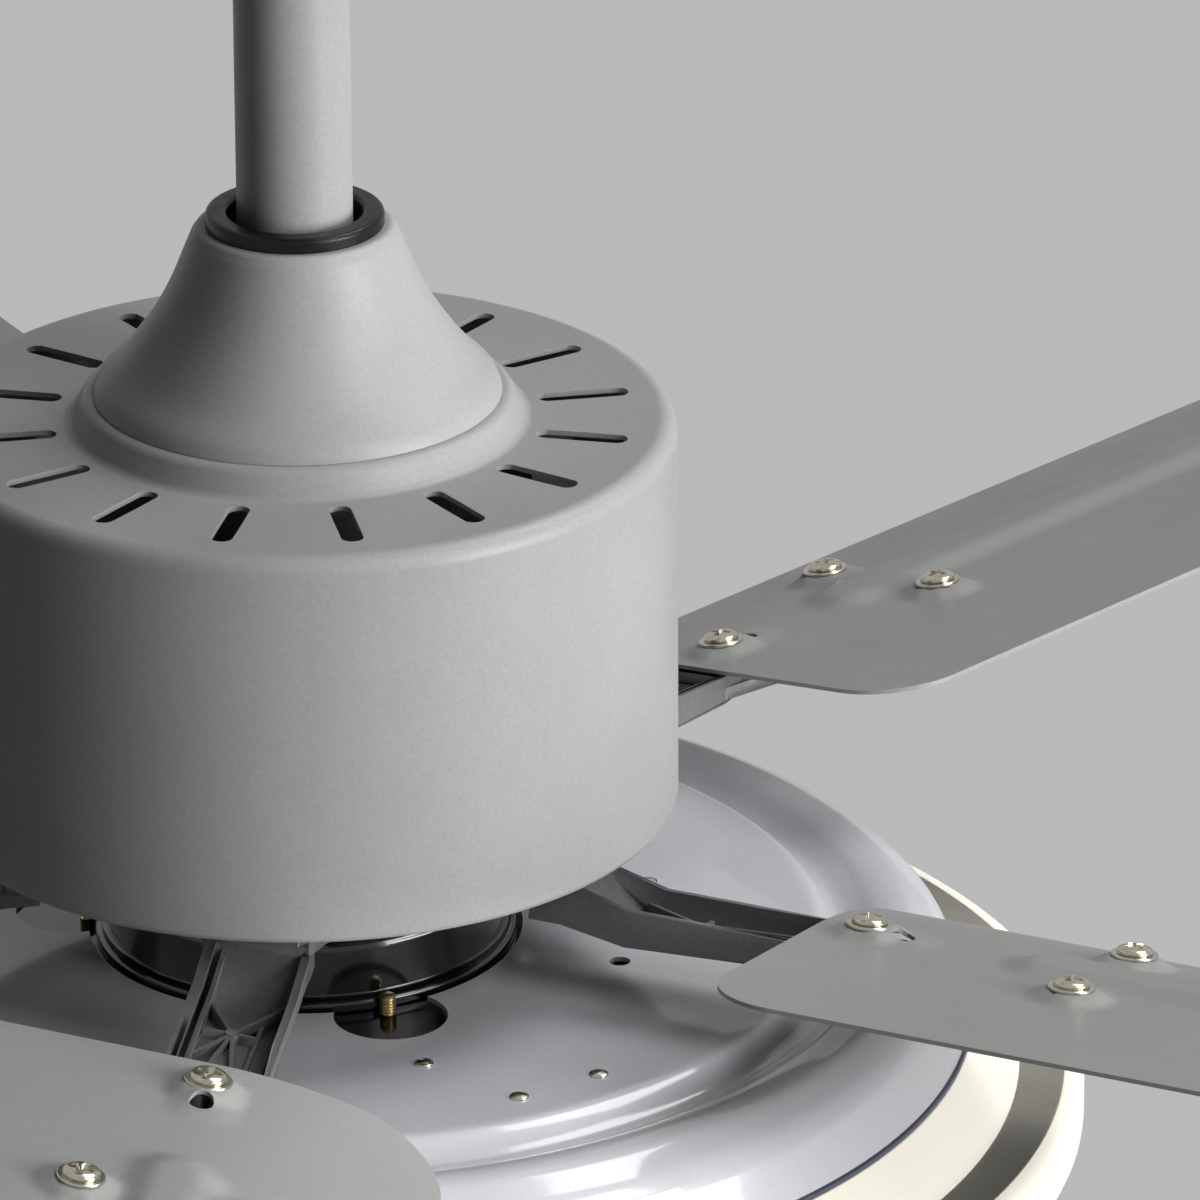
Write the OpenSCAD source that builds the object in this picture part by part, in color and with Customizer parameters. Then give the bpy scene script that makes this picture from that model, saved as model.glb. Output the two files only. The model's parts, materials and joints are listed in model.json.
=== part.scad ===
// Five-blade ceiling fan with a ring lamp, hung on a ball joint.
// Origin: centre of the bracket's ceiling face on the fan axis, +Z up, millimetres.
// Blades are set out anticlockwise seen from above, and u, v are along and across a blade.

/* [Ceiling mount] */
// Length of the ceiling bracket
bracket_len = 130; // [126:1:134]
// Width of the bracket strip
bracket_w = 40; // [32:1:46]
// Thickness of the bracket steel
bracket_t = 2.5; // [2:0.5:3]
// Distance from the bracket's end to the centre of its slot
slot_edge = 13; // [12:0.5:15]
// End-to-end length of a ceiling slot
slot_len = 16; // [10:1:18]
// Width of a ceiling slot
slot_w = 6; // [5:0.5:8]
// Distance from the bracket's end to the outside of the canopy
canopy_side = 5; // [4:0.5:15]
// Height of the canopy
canopy_h = 60; // [56:1:75]
// Radius of the hanger ball
ball_r = 27; // [26:0.5:29]
// Depth of the ball's centre below the ceiling
ball_drop = 34; // [32:1:38]

/* [Downrod and yoke] */
// Length of the downrod
rod_len = 250; // [150:5:600]
// Outer radius of the downrod
rod_r = 13.1; // [12:0.1:13.5]
// Wall of the downrod
rod_wall = 2; // [1.5:0.5:3]
// Height of the yoke cover above the raised ring of the housing
cover_h = 40.3; // [38:0.1:50]
// Radius of the yoke cover at its foot
cover_foot_r = 46.5; // [44:0.5:48]
// Radius of the yoke cover at its top
cover_top_r = 23; // [22:0.5:26]

/* [Motor housing] */
// Outer radius of the drum
drum_r = 86; // [85:1:100]
// Height of the drum
drum_h = 92.6; // [90:0.1:96]
// Wall of the drum
drum_wall = 1.2; // [0.8:0.1:1.5]
// Rounding of the drum's top edge
drum_round = 5; // [3:0.5:8]
// Height of the raised ring that the yoke cover stands on
plateau_h = 6.4; // [4:0.1:8]
// Number of vent slots
vent_count = 16; // [8:1:20]
// Distance from a vent slot to the foot of the raised ring
vent_in = 2.45; // [1:0.05:6]
// Distance from a vent slot to the drum's side
vent_out = 10.05; // [7:0.05:14]
// Width of a vent slot
vent_w = 4.2; // [3:0.1:6]

/* [Motor] */
// Radius of the motor shaft
shaft_r = 8.5; // [7:0.5:9]
// Gap between the drum's wall and the rotor case
case_gap = 8.8; // [8:0.1:11]
// Thickness of the magnet ring
magnet_t = 14.95; // [12:0.05:18]
// Height of the lamination stack
stack_h = 22; // [16:1:26]

/* [Blades] */
// Number of blades
blade_count = 5; // [3:1:5]
// Radius of the circle through the blade tips
tip_r = 533; // [400:1:700]
// Radius at which the blade's root edge lies
root_u = 129; // [126:1:134]
// Reach of the leading side from the blade's centre line
lead_w = 69; // [60:1:74]
// Reach of the trailing side at the root
trail_w = 56; // [48:1:58]
// Narrowing of the trailing side towards the tip
trail_taper = 14; // [0:1:20]
// Pitch of the blade
pitch = 9.5; // [7:0.5:12]
// Radius of the bend in the trailing side
camber_r = 150; // [150:5:300]
// Thickness of the blade sheet
blade_t = 1; // [0.8:0.1:1.5]

/* [Lamp] */
// Radius of the pan's shoulder
pan_r = 149.2; // [149:0.1:151]
// Height of the lower diffuser
diffuser_h = 17; // [14:0.5:30]
// Widening of the lamp along the upper diffuser's slope
slope_run = 11; // [8:0.1:14]
// Width of the flat trim ring that shows
trim_w = 10.1; // [8:0.1:12]
// Width of the lit edge outside the trim ring
lamp_edge = 4.6; // [4:0.1:12]

/* [Hidden] */

// Clearances and overruns
over = 1;           // overrun of a cut past its face
seat = 0.3;         // gap between pieces that move past each other
fit = 0.05;         // radial clearance of a pin or shaft in its hole
arc_steps = 10;     // steps in a rounded corner
finest = 144;       // facets of the lamp's rounds
fine = 96;          // facets of large rounds
medium = 48;        // facets of small rounds

// Colours as painted
grey = "#8C908E";
pan_grey = "#A9AAB2";
black = "#151515";
steel = "#B9B7B0";
brass = "#B79A5B";
cream = "#F4F1DF";

// Bracket values
slot_spacing = bracket_len - 2 * slot_edge;
bracket_hole_r = 11;
leg_gap = 9;                           // from the ball's side to a leg
leg_x = ball_r + leg_gap;
seat_depth = 12;                       // from the ball's centre to the seat plate
seat_z = -ball_drop - seat_depth;
seat_rim = 7;                          // width of the seat ring round the ball
tab_h = 20;
tab_w = 18;

// Canopy values
canopy_r = bracket_len / 2 + canopy_side;
canopy_gap = 0.5;                      // gap to the ceiling
canopy_wall = 1.2;
canopy_skirt = 20;
canopy_hole_r = 21;
canopy_flat = 3;                       // flat ring round the canopy's hole
canopy_screw_z = -12;
screw_r = 2;
screw_head_r = 4;
screw_head_h = 2.4;
crown_share = 1.35;                    // radius of a pan head's crown over its head's radius

// Ball values
ball_top = 15;
ball_bottom = 19;
ball_z = -ball_drop;
cross_pin_r = 3;
cross_pin_up = 9;                      // pin above the ball's centre
rod_above = 14;                        // rod's top above the ball's centre

// Rod and yoke values
rod_top_z = ball_z + rod_above;
rod_bot_z = rod_top_z - rod_len;
yoke_socket = 10;                      // depth of the shaft's socket in the yoke
plateau_z = rod_bot_z - yoke_socket;
plate_z = plateau_z - plateau_h;
yoke_r = 17;
yoke_h = 34;
yoke_flange_r = 31;
yoke_flange_t = 3.5;
yoke_rib_t = 3;
yoke_pin_r = 3;
yoke_pin_up = 23;
yoke_pin_over = 4;
pin_head_r = 5;
pin_head_t = 2;
clip_wire_r = 0.8;
clip_r = 4;
yoke_bolt_r = 2.5;
yoke_bolt_pcr = 24;
yoke_bolt_count = 4;
clamp_t = 3;
clamp_in_r = 12;

// Yoke cover values: shares of its height and of its widening give the bell's curve
cover_wall = 1.2;
cover_hole_r = 17.8;
cover_round = 2;
cover_shares = [[1, 0], [0.82, 0.10], [0.63, 0.27], [0.42, 0.54], [0.25, 0.79], [0.11, 0.95], [0, 1]];

// Rubber ring values
ring_out_r = 20.2;
ring_in_r = 15.2;
ring_t = 3.4;
ring_neck_h = 4;
ring_round = 1.2;
ring_edge_round = 0.3;

// Housing values
plateau_r = 49.5;
plateau_foot_r = 53;
housing_hole_r = 10;
drum_lip = 2.5;
drum_lip_round = 2;
vent_in_r = plateau_foot_r + vent_in;
vent_out_r = drum_r - vent_out;
vent_r = (vent_in_r + vent_out_r) / 2;
vent_len = vent_out_r - vent_in_r;
vent_phase = 9;

// Motor values, depths below the housing's top plate
case_r = drum_r - drum_wall - case_gap;
bearing_r = 20;
bearing_w = 12;
bearing_ring = 4;
bearing_groove = 0.8;
case_wall = 3;
case_top = 8;                          // depth of the upper hub's face
case_shoulder = 16;
case_drop = 5.4;                       // from the drum's lip to the case's bottom
case_bottom = drum_h + case_drop;
case_lower_h = 42;
case_split = case_bottom - case_lower_h;
case_chamfer = 9;
case_hole_r = 12;
case_hub_r = 24;
case_vents = 10;
case_vent_r = 5;
case_vent_in = 28;                     // from the case's side to its vents' centres
case_vent_pcr = case_r - case_vent_in;
lug_r = 3.2;
lug_h = 6;
bell_screw_r = 1.5;
bell_head_r = 2.6;
bell_head_h = 2;
lug_pcr = case_r + bell_head_r + seat;
bearing_lip = 5;
stack_up = 16;                         // from the case's split to the stack's top
stack_top = case_split - stack_up;
air_gap = 0.6;
stator_r = case_r - case_wall - fit - magnet_t - air_gap;
tooth_count = 12;
tooth_w = 10;
yoke_core_r = 26;
tooth_tip = 5;
tooth_tip_w = 24;
coil_t = 4.5;
coil_over = 5;
shaft_bore_r = 4;
circlip_r = 11.3;
circlip_t = 1.2;
circlip_gap = 5;

// Switch cup values
cup_drop = 6;                          // from the case's bottom to the cup's top
cup_top = case_bottom + cup_drop;
shaft_over = 9;                        // shaft's end below the cup's top
shaft_bottom = cup_top + shaft_over;
cup_top_r = 36;
cup_wall_r = 46.3;
cup_slope_h = 7.5;
cup_shoulder = cup_top + cup_slope_h;
cup_h = 22;                            // from the cup's top to the pan's
cup_flange_r = 48.6;
cup_flange_t = 3.2;
cup_wall = 1.2;
cup_round = 3;
nut_af = 26;
nut_t = 3.5;
cap_len = 34;
cap_w = 15;
cap_h = 13;
cap_off = 13;
cap_round = 3;

// Lamp values, depths below the housing's top plate
pan_top = cup_top + cup_h;
pan_t = 1.2;
pan_hole_r = 50;
lobe_r = 13;
lobe_pcr = 55;
lobe_count = 3;
lobe_phase = -70;
cup_screw_r = 1.9;
cup_screw_pcr = 51;
cup_screw_phase = -69;
cup_screw_over = 1.6;
plate_r = 74;
plate_t = 2;
plate_hole_r = 18;
step_in = 31.2;                        // the next three are distances in from the pan's shoulder
groove_in = 24.7;
crest_in = 12.2;
step_r = pan_r - step_in;
groove_r = pan_r - groove_in;
groove_depth = 4.6;
groove_out_depth = 3.7;
crest_r = pan_r - crest_in;
crest_in_depth = 1.9;
crest_depth = 1.4;
crest_out_depth = 2.8;
crest_width = 6;
pan_shoulder = 7.2;                    // depth of the shoulder below the pan's flat
rim_flare = 4.2;
rim_r = pan_r + rim_flare;
rim_depth = 20.5;
base_lip = 0.9;
base_r = rim_r + base_lip;
base_t = 1.5;
base_hole_r = 16;
standoff_r = 4;
standoff_pcr = 62;
trim_in_r = base_r + slope_run;
trim_out_r = trim_in_r + trim_w;
lamp_r = trim_out_r + lamp_edge;
trim_depth = 33.3;
trim_t = 1.6;
upper_t = 2;
lower_t = 2;
lower_round = 6;
lower_edge = 4;
board_w = 42;
board_in = 8.3;                        // from the base's edge to the board's
board_out_r = base_r - board_in;
board_in_r = board_out_r - board_w;
board_t = 1.6;
chip_w = 3.5;
chip_t = 0.8;
chip_in = 8;                           // from the board's edges to the rows of chips
chip_rows = [board_in_r + chip_in, board_out_r - chip_in];
chip_counts = [24, 30];
rivet_r = 2.2;
rivet_h = 1;
rivet_in_r = 82;
rivet_out_in = 11;                     // from the pan's step to the outer rivets
rivet_out_r = step_r - rivet_out_in;
rivet_in_az = [-71.5, -124.8, 13.6, 70, 175];
rivet_out_az = [-64, -52.6, 56, 67.4, 176, 187.4];
pan_hole_small_r = 2.4;
pan_hole_small_pcr = 75.7;
pan_hole_small_az = -18.8;
driver_len = 84;
driver_w = 30;
driver_h = 14;
driver_in = 50.7;                      // from the pan's shoulder to the driver's middle
driver_r = pan_r - driver_in;

// Blade values
blade_phase = 45;
blade_drop = 4;                        // from the case's bottom to the blade's top face
blade_top = case_bottom + blade_drop;
deep = 40;                             // depth of the solid that the sheet is cut from
bead_r = 37;
bead_h = 2;
bead_v = 0.5;
bead_u = 183;
bead_end = 22;                         // from the bead's end to the tip
dimple_h = 2;
dimple_top_r = 6.4;
dimple_foot_r = 9.6;
inner_u = 142;
outer_u = 199;
outer_v = 18.6;
dimple_root = 3;
dimple_run = 6;                        // length of the inner dimple beyond its screw
run_share = 0.75;
key_u = 150.4;
key_r = 2.7;
root_lead_round = 19;
root_trail_round = 24;
tip_lead_round = 44;
tip_trail_round = 26;
washer_r = 5.4;
washer_t = 0.8;
pan_head_r = 4.5;
pan_head_h = 2.6;
blade_screw_r = 2.3;
blade_head_r = 4.2;
blade_head_h = 1.9;
blade_cross_l = 4.4;
cross_w = 1;
cross_l = 5;
bell_cross_l = 3;
cross_d = 1.2;

// Blade iron values
iron_hw = 11.8;
iron_pad_hw = 20;
iron_start_in = 30;                    // the next three are distances in from the case's side
iron_screw_in = 19;
iron_pad_in = 6;
iron_belly_out = 10;                   // from the case's side to the lowest point
iron_start_u = case_r - iron_start_in;
iron_pad_end_u = case_r - iron_pad_in;
iron_belly_u = case_r + iron_belly_out;
iron_pad_t = 4;
iron_corner = 5;
iron_screw_u = case_r - iron_screw_in;
iron_screw_v = 12;
iron_screw_r = 2.5;
iron_wall = 2.2;
iron_floor = 2;
iron_top = 0.8;                        // wall's top below the blade's underside
iron_hub_deep = 6;
iron_deep = 8.5;
iron_root_deep = 6.4;
iron_plate_t = 3;
iron_end_r = 9;
boss_r = 5.6;
star_out = 12;                         // from the iron's lowest point to its star of ribs
star_u = iron_belly_u + star_out;
star_h = 3;
star_t = 1.2;
star_hub_r = 2.4;
star_angles = [152, -152, 90, -90, -28, -9, 8];
side_rib = 3.4;                        // from the leading wall to the rib beside it

function depth(d) = plate_z - d;
function unit(v) = v / norm(v);

// Arc that rounds corner b of the line a, b, c
function corner_arc(a, b, c, r) = let(
    d1 = unit(a - b),
    d2 = unit(c - b),
    half = acos(d1 * d2) / 2,
    mid = b + unit(d1 + d2) * r / sin(half),
    t1 = b + d1 * r / tan(half) - mid,
    t2 = b + d2 * r / tan(half) - mid,
    start = atan2(t1[1], t1[0]),
    sweep = (atan2(t2[1], t2[0]) - start + 540) % 360 - 180)
    [for (i = [0:arc_steps]) let(a = start + sweep * i / arc_steps) mid + r * [cos(a), sin(a)]];

// Outline whose corners are rounded by the radii
function rounded(pts, radii) = [for (i = [0:len(pts) - 1])
    each corner_arc(pts[(i + len(pts) - 1) % len(pts)], pts[i], pts[(i + 1) % len(pts)], radii[i])];

module ring(r_out, r_in, h, z = 0) {
    translate([0, 0, z]) difference() {
        cylinder(r = r_out, h = h, $fn = fine);
        translate([0, 0, -over]) cylinder(r = r_in, h = h + 2 * over, $fn = fine);
    }
}

module slot(len, w, h) {
    for (s = [-1, 1]) translate([s * (len - w) / 2, 0, 0]) cylinder(d = w, h = h, $fn = medium);
    translate([-(len - w) / 2, -w / 2, 0]) cube([len - w, w, h]);
}

// Pan-head screw: head's underside at z = 0, shank downwards
module pan_screw(r, len, head_r, head_h, cross = cross_l) {
    difference() {
        intersection() {
            cylinder(r = head_r, h = head_h, $fn = medium);
            translate([0, 0, head_h - head_r * crown_share]) sphere(r = head_r * crown_share, $fn = medium);
        }
        for (a = [0, 90]) rotate([0, 0, a])
            translate([-cross / 2, -cross_w / 2, head_h - cross_d]) cube([cross, cross_w, cross_d + over]);
    }
    translate([0, 0, -len]) cylinder(r = r, h = len, $fn = medium);
}

// Ceiling mount
module ceiling_bracket() {
    color(steel) difference() {
        union() {
            translate([-bracket_len / 2, -bracket_w / 2, -bracket_t])
                cube([bracket_len, bracket_w, bracket_t]);
            for (s = [0, 180]) rotate([0, 0, s]) {
                translate([leg_x, -bracket_w / 2, seat_z - bracket_t])
                    cube([bracket_t, bracket_w, -seat_z + bracket_t]);
                translate([bracket_len / 2 - bracket_t, -tab_w / 2, -tab_h]) cube([bracket_t, tab_w, tab_h]);
            }
            translate([-leg_x, -bracket_w / 2, seat_z - bracket_t]) cube([2 * leg_x, bracket_w, bracket_t]);
            translate([0, 0, seat_z - bracket_t]) cylinder(r = ball_r + seat_rim, h = bracket_t, $fn = fine);
        }
        for (s = [-1, 1]) translate([s * slot_spacing / 2, 0, -bracket_t - over])
            slot(slot_len, slot_w, bracket_t + 2 * over);
        translate([0, 0, -bracket_t - over])
            cylinder(r = bracket_hole_r, h = bracket_t + 2 * over, $fn = medium);
        translate([0, 0, ball_z]) sphere(r = ball_r + seat, $fn = fine);
        translate([-rod_r - seat_rim / 2, 0, seat_z - bracket_t - over])
            cube([2 * rod_r + seat_rim, ball_r + 2 * seat_rim, bracket_t + 2 * over]);
        for (s = [0, 180]) rotate([0, 0, s])
            translate([bracket_len / 2 - bracket_t - over, 0, canopy_screw_z]) rotate([0, 90, 0])
                cylinder(r = screw_r + fit, h = bracket_t + 2 * over, $fn = medium);
    }
}

function dome(r, h, neck) = [for (i = [0:arc_steps * 2]) let(a = 90 * i / (arc_steps * 2))
    [neck + (r - neck) * cos(a), -canopy_skirt - (h - canopy_skirt) * sin(a)]];

module canopy() {
    neck = canopy_hole_r + canopy_flat;
    color(grey) difference() {
        rotate_extrude($fn = fine) polygon(concat(
            [[canopy_r - canopy_wall, -canopy_gap], [canopy_r, -canopy_gap]],
            dome(canopy_r, canopy_h, neck),
            [[canopy_hole_r, -canopy_h], [canopy_hole_r, -canopy_h + canopy_wall]],
            [for (i = [arc_steps * 2:-1:0]) dome(canopy_r - canopy_wall, canopy_h - canopy_wall, neck)[i]]));
        for (s = [0, 180]) rotate([0, 0, s]) translate([canopy_r - canopy_wall - over, 0, canopy_screw_z])
            rotate([0, 90, 0]) cylinder(r = screw_r + fit, h = canopy_wall + 2 * over, $fn = medium);
    }
}

module canopy_screws() {
    len = canopy_r - bracket_len / 2 + bracket_t;
    color(steel) for (s = [0, 180]) rotate([0, 0, s]) translate([canopy_r + fit, 0, canopy_screw_z])
        rotate([0, 90, 0]) pan_screw(screw_r, len, screw_head_r, screw_head_h);
}

// Ball joint and downrod
module hanger_ball() {
    color("#4A4A4A") translate([0, 0, ball_z]) difference() {
        intersection() {
            sphere(r = ball_r, $fn = fine);
            translate([0, 0, -ball_bottom]) cylinder(r = ball_r, h = ball_top + ball_bottom, $fn = fine);
        }
        translate([0, 0, -ball_r]) cylinder(r = rod_r + fit, h = 2 * ball_r, $fn = fine);
        translate([-ball_r, 0, cross_pin_up]) rotate([0, 90, 0])
            cylinder(r = cross_pin_r + fit, h = 2 * ball_r, $fn = medium);
    }
}

module ball_cross_pin() {
    half = sqrt(pow(ball_r, 2) - pow(cross_pin_up + cross_pin_r, 2)) - seat;
    color(steel) translate([-half, 0, ball_z + cross_pin_up]) rotate([0, 90, 0])
        cylinder(r = cross_pin_r, h = 2 * half, $fn = medium);
}

module downrod() {
    color(grey) difference() {
        ring(rod_r, rod_r - rod_wall, rod_len, rod_bot_z);
        translate([-ball_r, 0, ball_z + cross_pin_up]) rotate([0, 90, 0])
            cylinder(r = cross_pin_r + fit, h = 2 * ball_r, $fn = medium);
        translate([-yoke_r, 0, plateau_z + yoke_pin_up]) rotate([0, 90, 0])
            cylinder(r = yoke_pin_r + fit, h = 2 * yoke_r, $fn = medium);
    }
}

module rod_seal_ring() {
    top = plateau_z + cover_h;
    neck_r = cover_hole_r - fit;
    edge = ring_edge_round;
    color(black) rotate_extrude($fn = fine) polygon(rounded(
        [[ring_in_r, top - ring_neck_h], [neck_r, top - ring_neck_h], [neck_r, top], [ring_out_r, top],
        [ring_out_r, top + ring_t], [ring_in_r, top + ring_t]],
        [edge, edge, edge, edge, ring_round, ring_round]));
}

function cover_line(inset) = [for (s = cover_shares)
    [cover_top_r + (cover_foot_r - cover_top_r) * s[1] - inset, plateau_z + (cover_h - cover_round) * s[0]]];

module yoke_cover() {
    n = len(cover_shares) - 1;
    top = plateau_z + cover_h;
    edge = [for (i = [0:arc_steps]) let(a = 90 * i / arc_steps)
        [cover_top_r - cover_round + cover_round * sin(a), top - cover_round + cover_round * cos(a)]];
    color(grey) rotate_extrude($fn = fine) polygon(concat(
        [[cover_hole_r, top]], edge, cover_line(0),
        [for (i = [n:-1:1]) cover_line(cover_wall)[i]],
        [[cover_top_r - cover_wall, top - cover_round], [cover_hole_r, top - cover_round]]));
}

module yoke() {
    color(steel) difference() {
        union() {
            translate([0, 0, plateau_z]) cylinder(r = yoke_r, h = yoke_h, $fn = fine);
            translate([0, 0, plateau_z]) cylinder(r = yoke_flange_r, h = yoke_flange_t, $fn = fine);
            for (a = [45:90:315]) rotate([90, 0, a]) translate([0, 0, -yoke_rib_t / 2])
                linear_extrude(yoke_rib_t) polygon([[0, plateau_z + yoke_flange_t],
                    [yoke_flange_r, plateau_z + yoke_flange_t], [yoke_r, plateau_z + yoke_h / 2],
                    [0, plateau_z + yoke_h / 2]]);
        }
        translate([0, 0, rod_bot_z]) cylinder(r = rod_r + fit, h = yoke_h, $fn = fine);
        translate([0, 0, plateau_z - over]) cylinder(r = shaft_r + fit, h = yoke_h, $fn = fine);
        translate([-yoke_flange_r, 0, plateau_z + yoke_pin_up]) rotate([0, 90, 0])
            cylinder(r = yoke_pin_r + fit, h = 2 * yoke_flange_r, $fn = medium);
        yoke_bolts(yoke_bolt_r + fit, plateau_z - over, yoke_flange_t + 2 * over);
    }
}

module yoke_bolts(r, z, h) {
    for (k = [0:yoke_bolt_count - 1]) rotate([0, 0, 360 * k / yoke_bolt_count])
        translate([yoke_bolt_pcr, 0, z]) cylinder(r = r, h = h, $fn = medium);
}

module clevis_pin() {
    color(steel) translate([-yoke_r, 0, plateau_z + yoke_pin_up]) rotate([0, 90, 0]) difference() {
        union() {
            cylinder(r = yoke_pin_r, h = 2 * yoke_r + yoke_pin_over, $fn = medium);
            translate([0, 0, -pin_head_t]) cylinder(r = pin_head_r, h = pin_head_t, $fn = medium);
        }
        translate([0, 0, 2 * yoke_r + yoke_pin_over / 2]) rotate([90, 0, 0]) translate([0, 0, -yoke_r])
            cylinder(r = clip_wire_r + fit, h = 2 * yoke_r, $fn = medium);
    }
}

module clevis_clip() {
    translate([yoke_r + yoke_pin_over / 2, 0, plateau_z + yoke_pin_up]) color(steel) rotate([90, 0, 90]) {
        translate([-clip_r, 0, 0]) rotate([0, 90, 0]) cylinder(r = clip_wire_r, h = 2 * clip_r, $fn = medium);
        rotate_extrude(angle = 180, $fn = medium) translate([clip_r, 0]) circle(r = clip_wire_r, $fn = 24);
    }
}

module clamp_ring() {
    color(steel) difference() {
        ring(yoke_flange_r, clamp_in_r, clamp_t, plateau_z - drum_wall - clamp_t);
        yoke_bolts(yoke_bolt_r + fit, plateau_z - drum_wall - clamp_t - over, clamp_t + 2 * over);
    }
}

module yoke_screws() {
    top = plateau_z + yoke_flange_t;
    color(steel) for (k = [0:yoke_bolt_count - 1]) rotate([0, 0, 360 * k / yoke_bolt_count])
        translate([yoke_bolt_pcr, 0, top])
            pan_screw(yoke_bolt_r, yoke_flange_t + drum_wall + clamp_t, pan_head_r, pan_head_h);
}

// Motor housing
module motor_housing() {
    low = plate_z - drum_h;
    outer = rounded([[0, plate_z], [drum_r, plate_z], [drum_r, low], [0, low]],
        [0, drum_round, drum_lip_round, 0]);
    in_r = drum_r - drum_wall;
    inner = rounded([[0, plate_z - drum_wall], [in_r, plate_z - drum_wall], [in_r, low + drum_wall],
        [0, low + drum_wall]], [0, drum_round - drum_wall, drum_lip_round - drum_wall, 0]);
    color(grey) difference() {
        rotate_extrude($fn = fine) {
            difference() {
                polygon(outer);
                polygon(inner);
                translate([0, low - over]) square([drum_r - drum_lip, drum_wall + 2 * over]);
                translate([0, plate_z - drum_wall - over]) square([plateau_r, drum_wall + 2 * over]);
            }
            polygon([[plateau_foot_r + drum_wall, plate_z], [plateau_r, plateau_z],
                [housing_hole_r, plateau_z], [housing_hole_r, plateau_z - drum_wall],
                [plateau_r - drum_wall, plateau_z - drum_wall],
                [plateau_foot_r - drum_wall, plate_z - drum_wall], [plateau_foot_r, plate_z - drum_wall]]);
        }
        for (k = [0:vent_count - 1]) rotate([0, 0, vent_phase + 360 * k / vent_count])
            translate([vent_r, 0, plate_z - drum_wall - over]) slot(vent_len, vent_w, drum_wall + 2 * over);
        yoke_bolts(yoke_bolt_r + fit, plateau_z - drum_wall - over, drum_wall + 2 * over);
    }
}

// Motor
module motor_shaft() {
    low = depth(shaft_bottom);
    color(steel) difference() {
        ring(shaft_r, shaft_bore_r, rod_bot_z - low, low);
        ring(shaft_r + over, shaft_r - circlip_t, circlip_t + fit, circlip_z() - fit / 2);
    }
}

function lower_bearing_z() = depth(case_bottom - bearing_lip);
function circlip_z() = lower_bearing_z() - seat - circlip_t;

module shaft_circlip() {
    color(steel) difference() {
        ring(circlip_r, shaft_r - circlip_t + fit, circlip_t, circlip_z());
        translate([0, -circlip_gap / 2, circlip_z() - over])
            cube([circlip_r + over, circlip_gap, circlip_t + 2 * over]);
    }
}

module stator_core() {
    color("#6E6E70") translate([0, 0, depth(stack_top + stack_h)]) linear_extrude(stack_h) difference() {
        union() {
            circle(r = yoke_core_r, $fn = fine);
            intersection() {
                circle(r = stator_r, $fn = fine);
                for (k = [0:tooth_count - 1]) rotate(360 * k / tooth_count) {
                    translate([0, -tooth_w / 2]) square([stator_r, tooth_w]);
                    translate([stator_r - tooth_tip, -tooth_tip_w / 2]) square([2 * tooth_tip, tooth_tip_w]);
                }
            }
        }
        circle(r = shaft_r + fit, $fn = fine);
    }
}

module stator_windings() {
    inner = yoke_core_r + seat;
    outer = stator_r - tooth_tip - seat;
    color("#A5612C") for (k = [0:tooth_count - 1]) rotate([0, 0, 360 * k / tooth_count])
        translate([inner, 0, depth(stack_top + stack_h / 2)]) rotate([0, 90, 0]) difference() {
            linear_extrude(outer - inner) polygon(rounded([
                [-stack_h / 2 - coil_over, -tooth_w / 2 - coil_side(inner)],
                [stack_h / 2 + coil_over, -tooth_w / 2 - coil_side(inner)],
                [stack_h / 2 + coil_over, tooth_w / 2 + coil_side(inner)],
                [-stack_h / 2 - coil_over, tooth_w / 2 + coil_side(inner)]],
                [coil_t / 2, coil_t / 2, coil_t / 2, coil_t / 2]));
            translate([-stack_h / 2 - fit, -tooth_w / 2 - fit, -over])
                cube([stack_h + 2 * fit, tooth_w + 2 * fit, outer - inner + 2 * over]);
        }
}

// Thickness of a coil's side that leaves its neighbours clear at radius r
function coil_side(r) = min(coil_t, r * tan(180 / tooth_count) - tooth_w / 2 - seat);

module bearing(z) {
    color(steel) difference() {
        ring(bearing_r, shaft_r + fit, bearing_w, z);
        for (f = [z - over, z + bearing_w - bearing_groove])
            ring(bearing_r - bearing_ring, shaft_r + bearing_ring, bearing_groove + over, f);
    }
}

module upper_bearing() {
    bearing(depth(case_top + case_wall + bearing_w));
}

module lower_bearing() {
    bearing(lower_bearing_z());
}

module lug_places(z) {
    for (k = [0:blade_count - 1]) rotate([0, 0, 360 * k / blade_count]) translate([lug_pcr, 0, z]) children();
}

// Lugs on the case's wall, from z upwards
module case_lugs(z) {
    difference() {
        lug_places(z) cylinder(r = lug_r, h = lug_h, $fn = medium);
        translate([0, 0, z - over]) cylinder(r = case_r - case_wall, h = lug_h + 2 * over, $fn = fine);
    }
}

module lug_holes(z) {
    lug_places(z - over) cylinder(r = bell_screw_r + fit, h = lug_h + 2 * over, $fn = medium);
}

module case_vent_holes(z, h) {
    for (k = [0:case_vents - 1]) rotate([0, 0, 360 * k / case_vents])
        translate([case_vent_pcr, 0, z]) cylinder(r = case_vent_r, h = h, $fn = medium);
}

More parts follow.
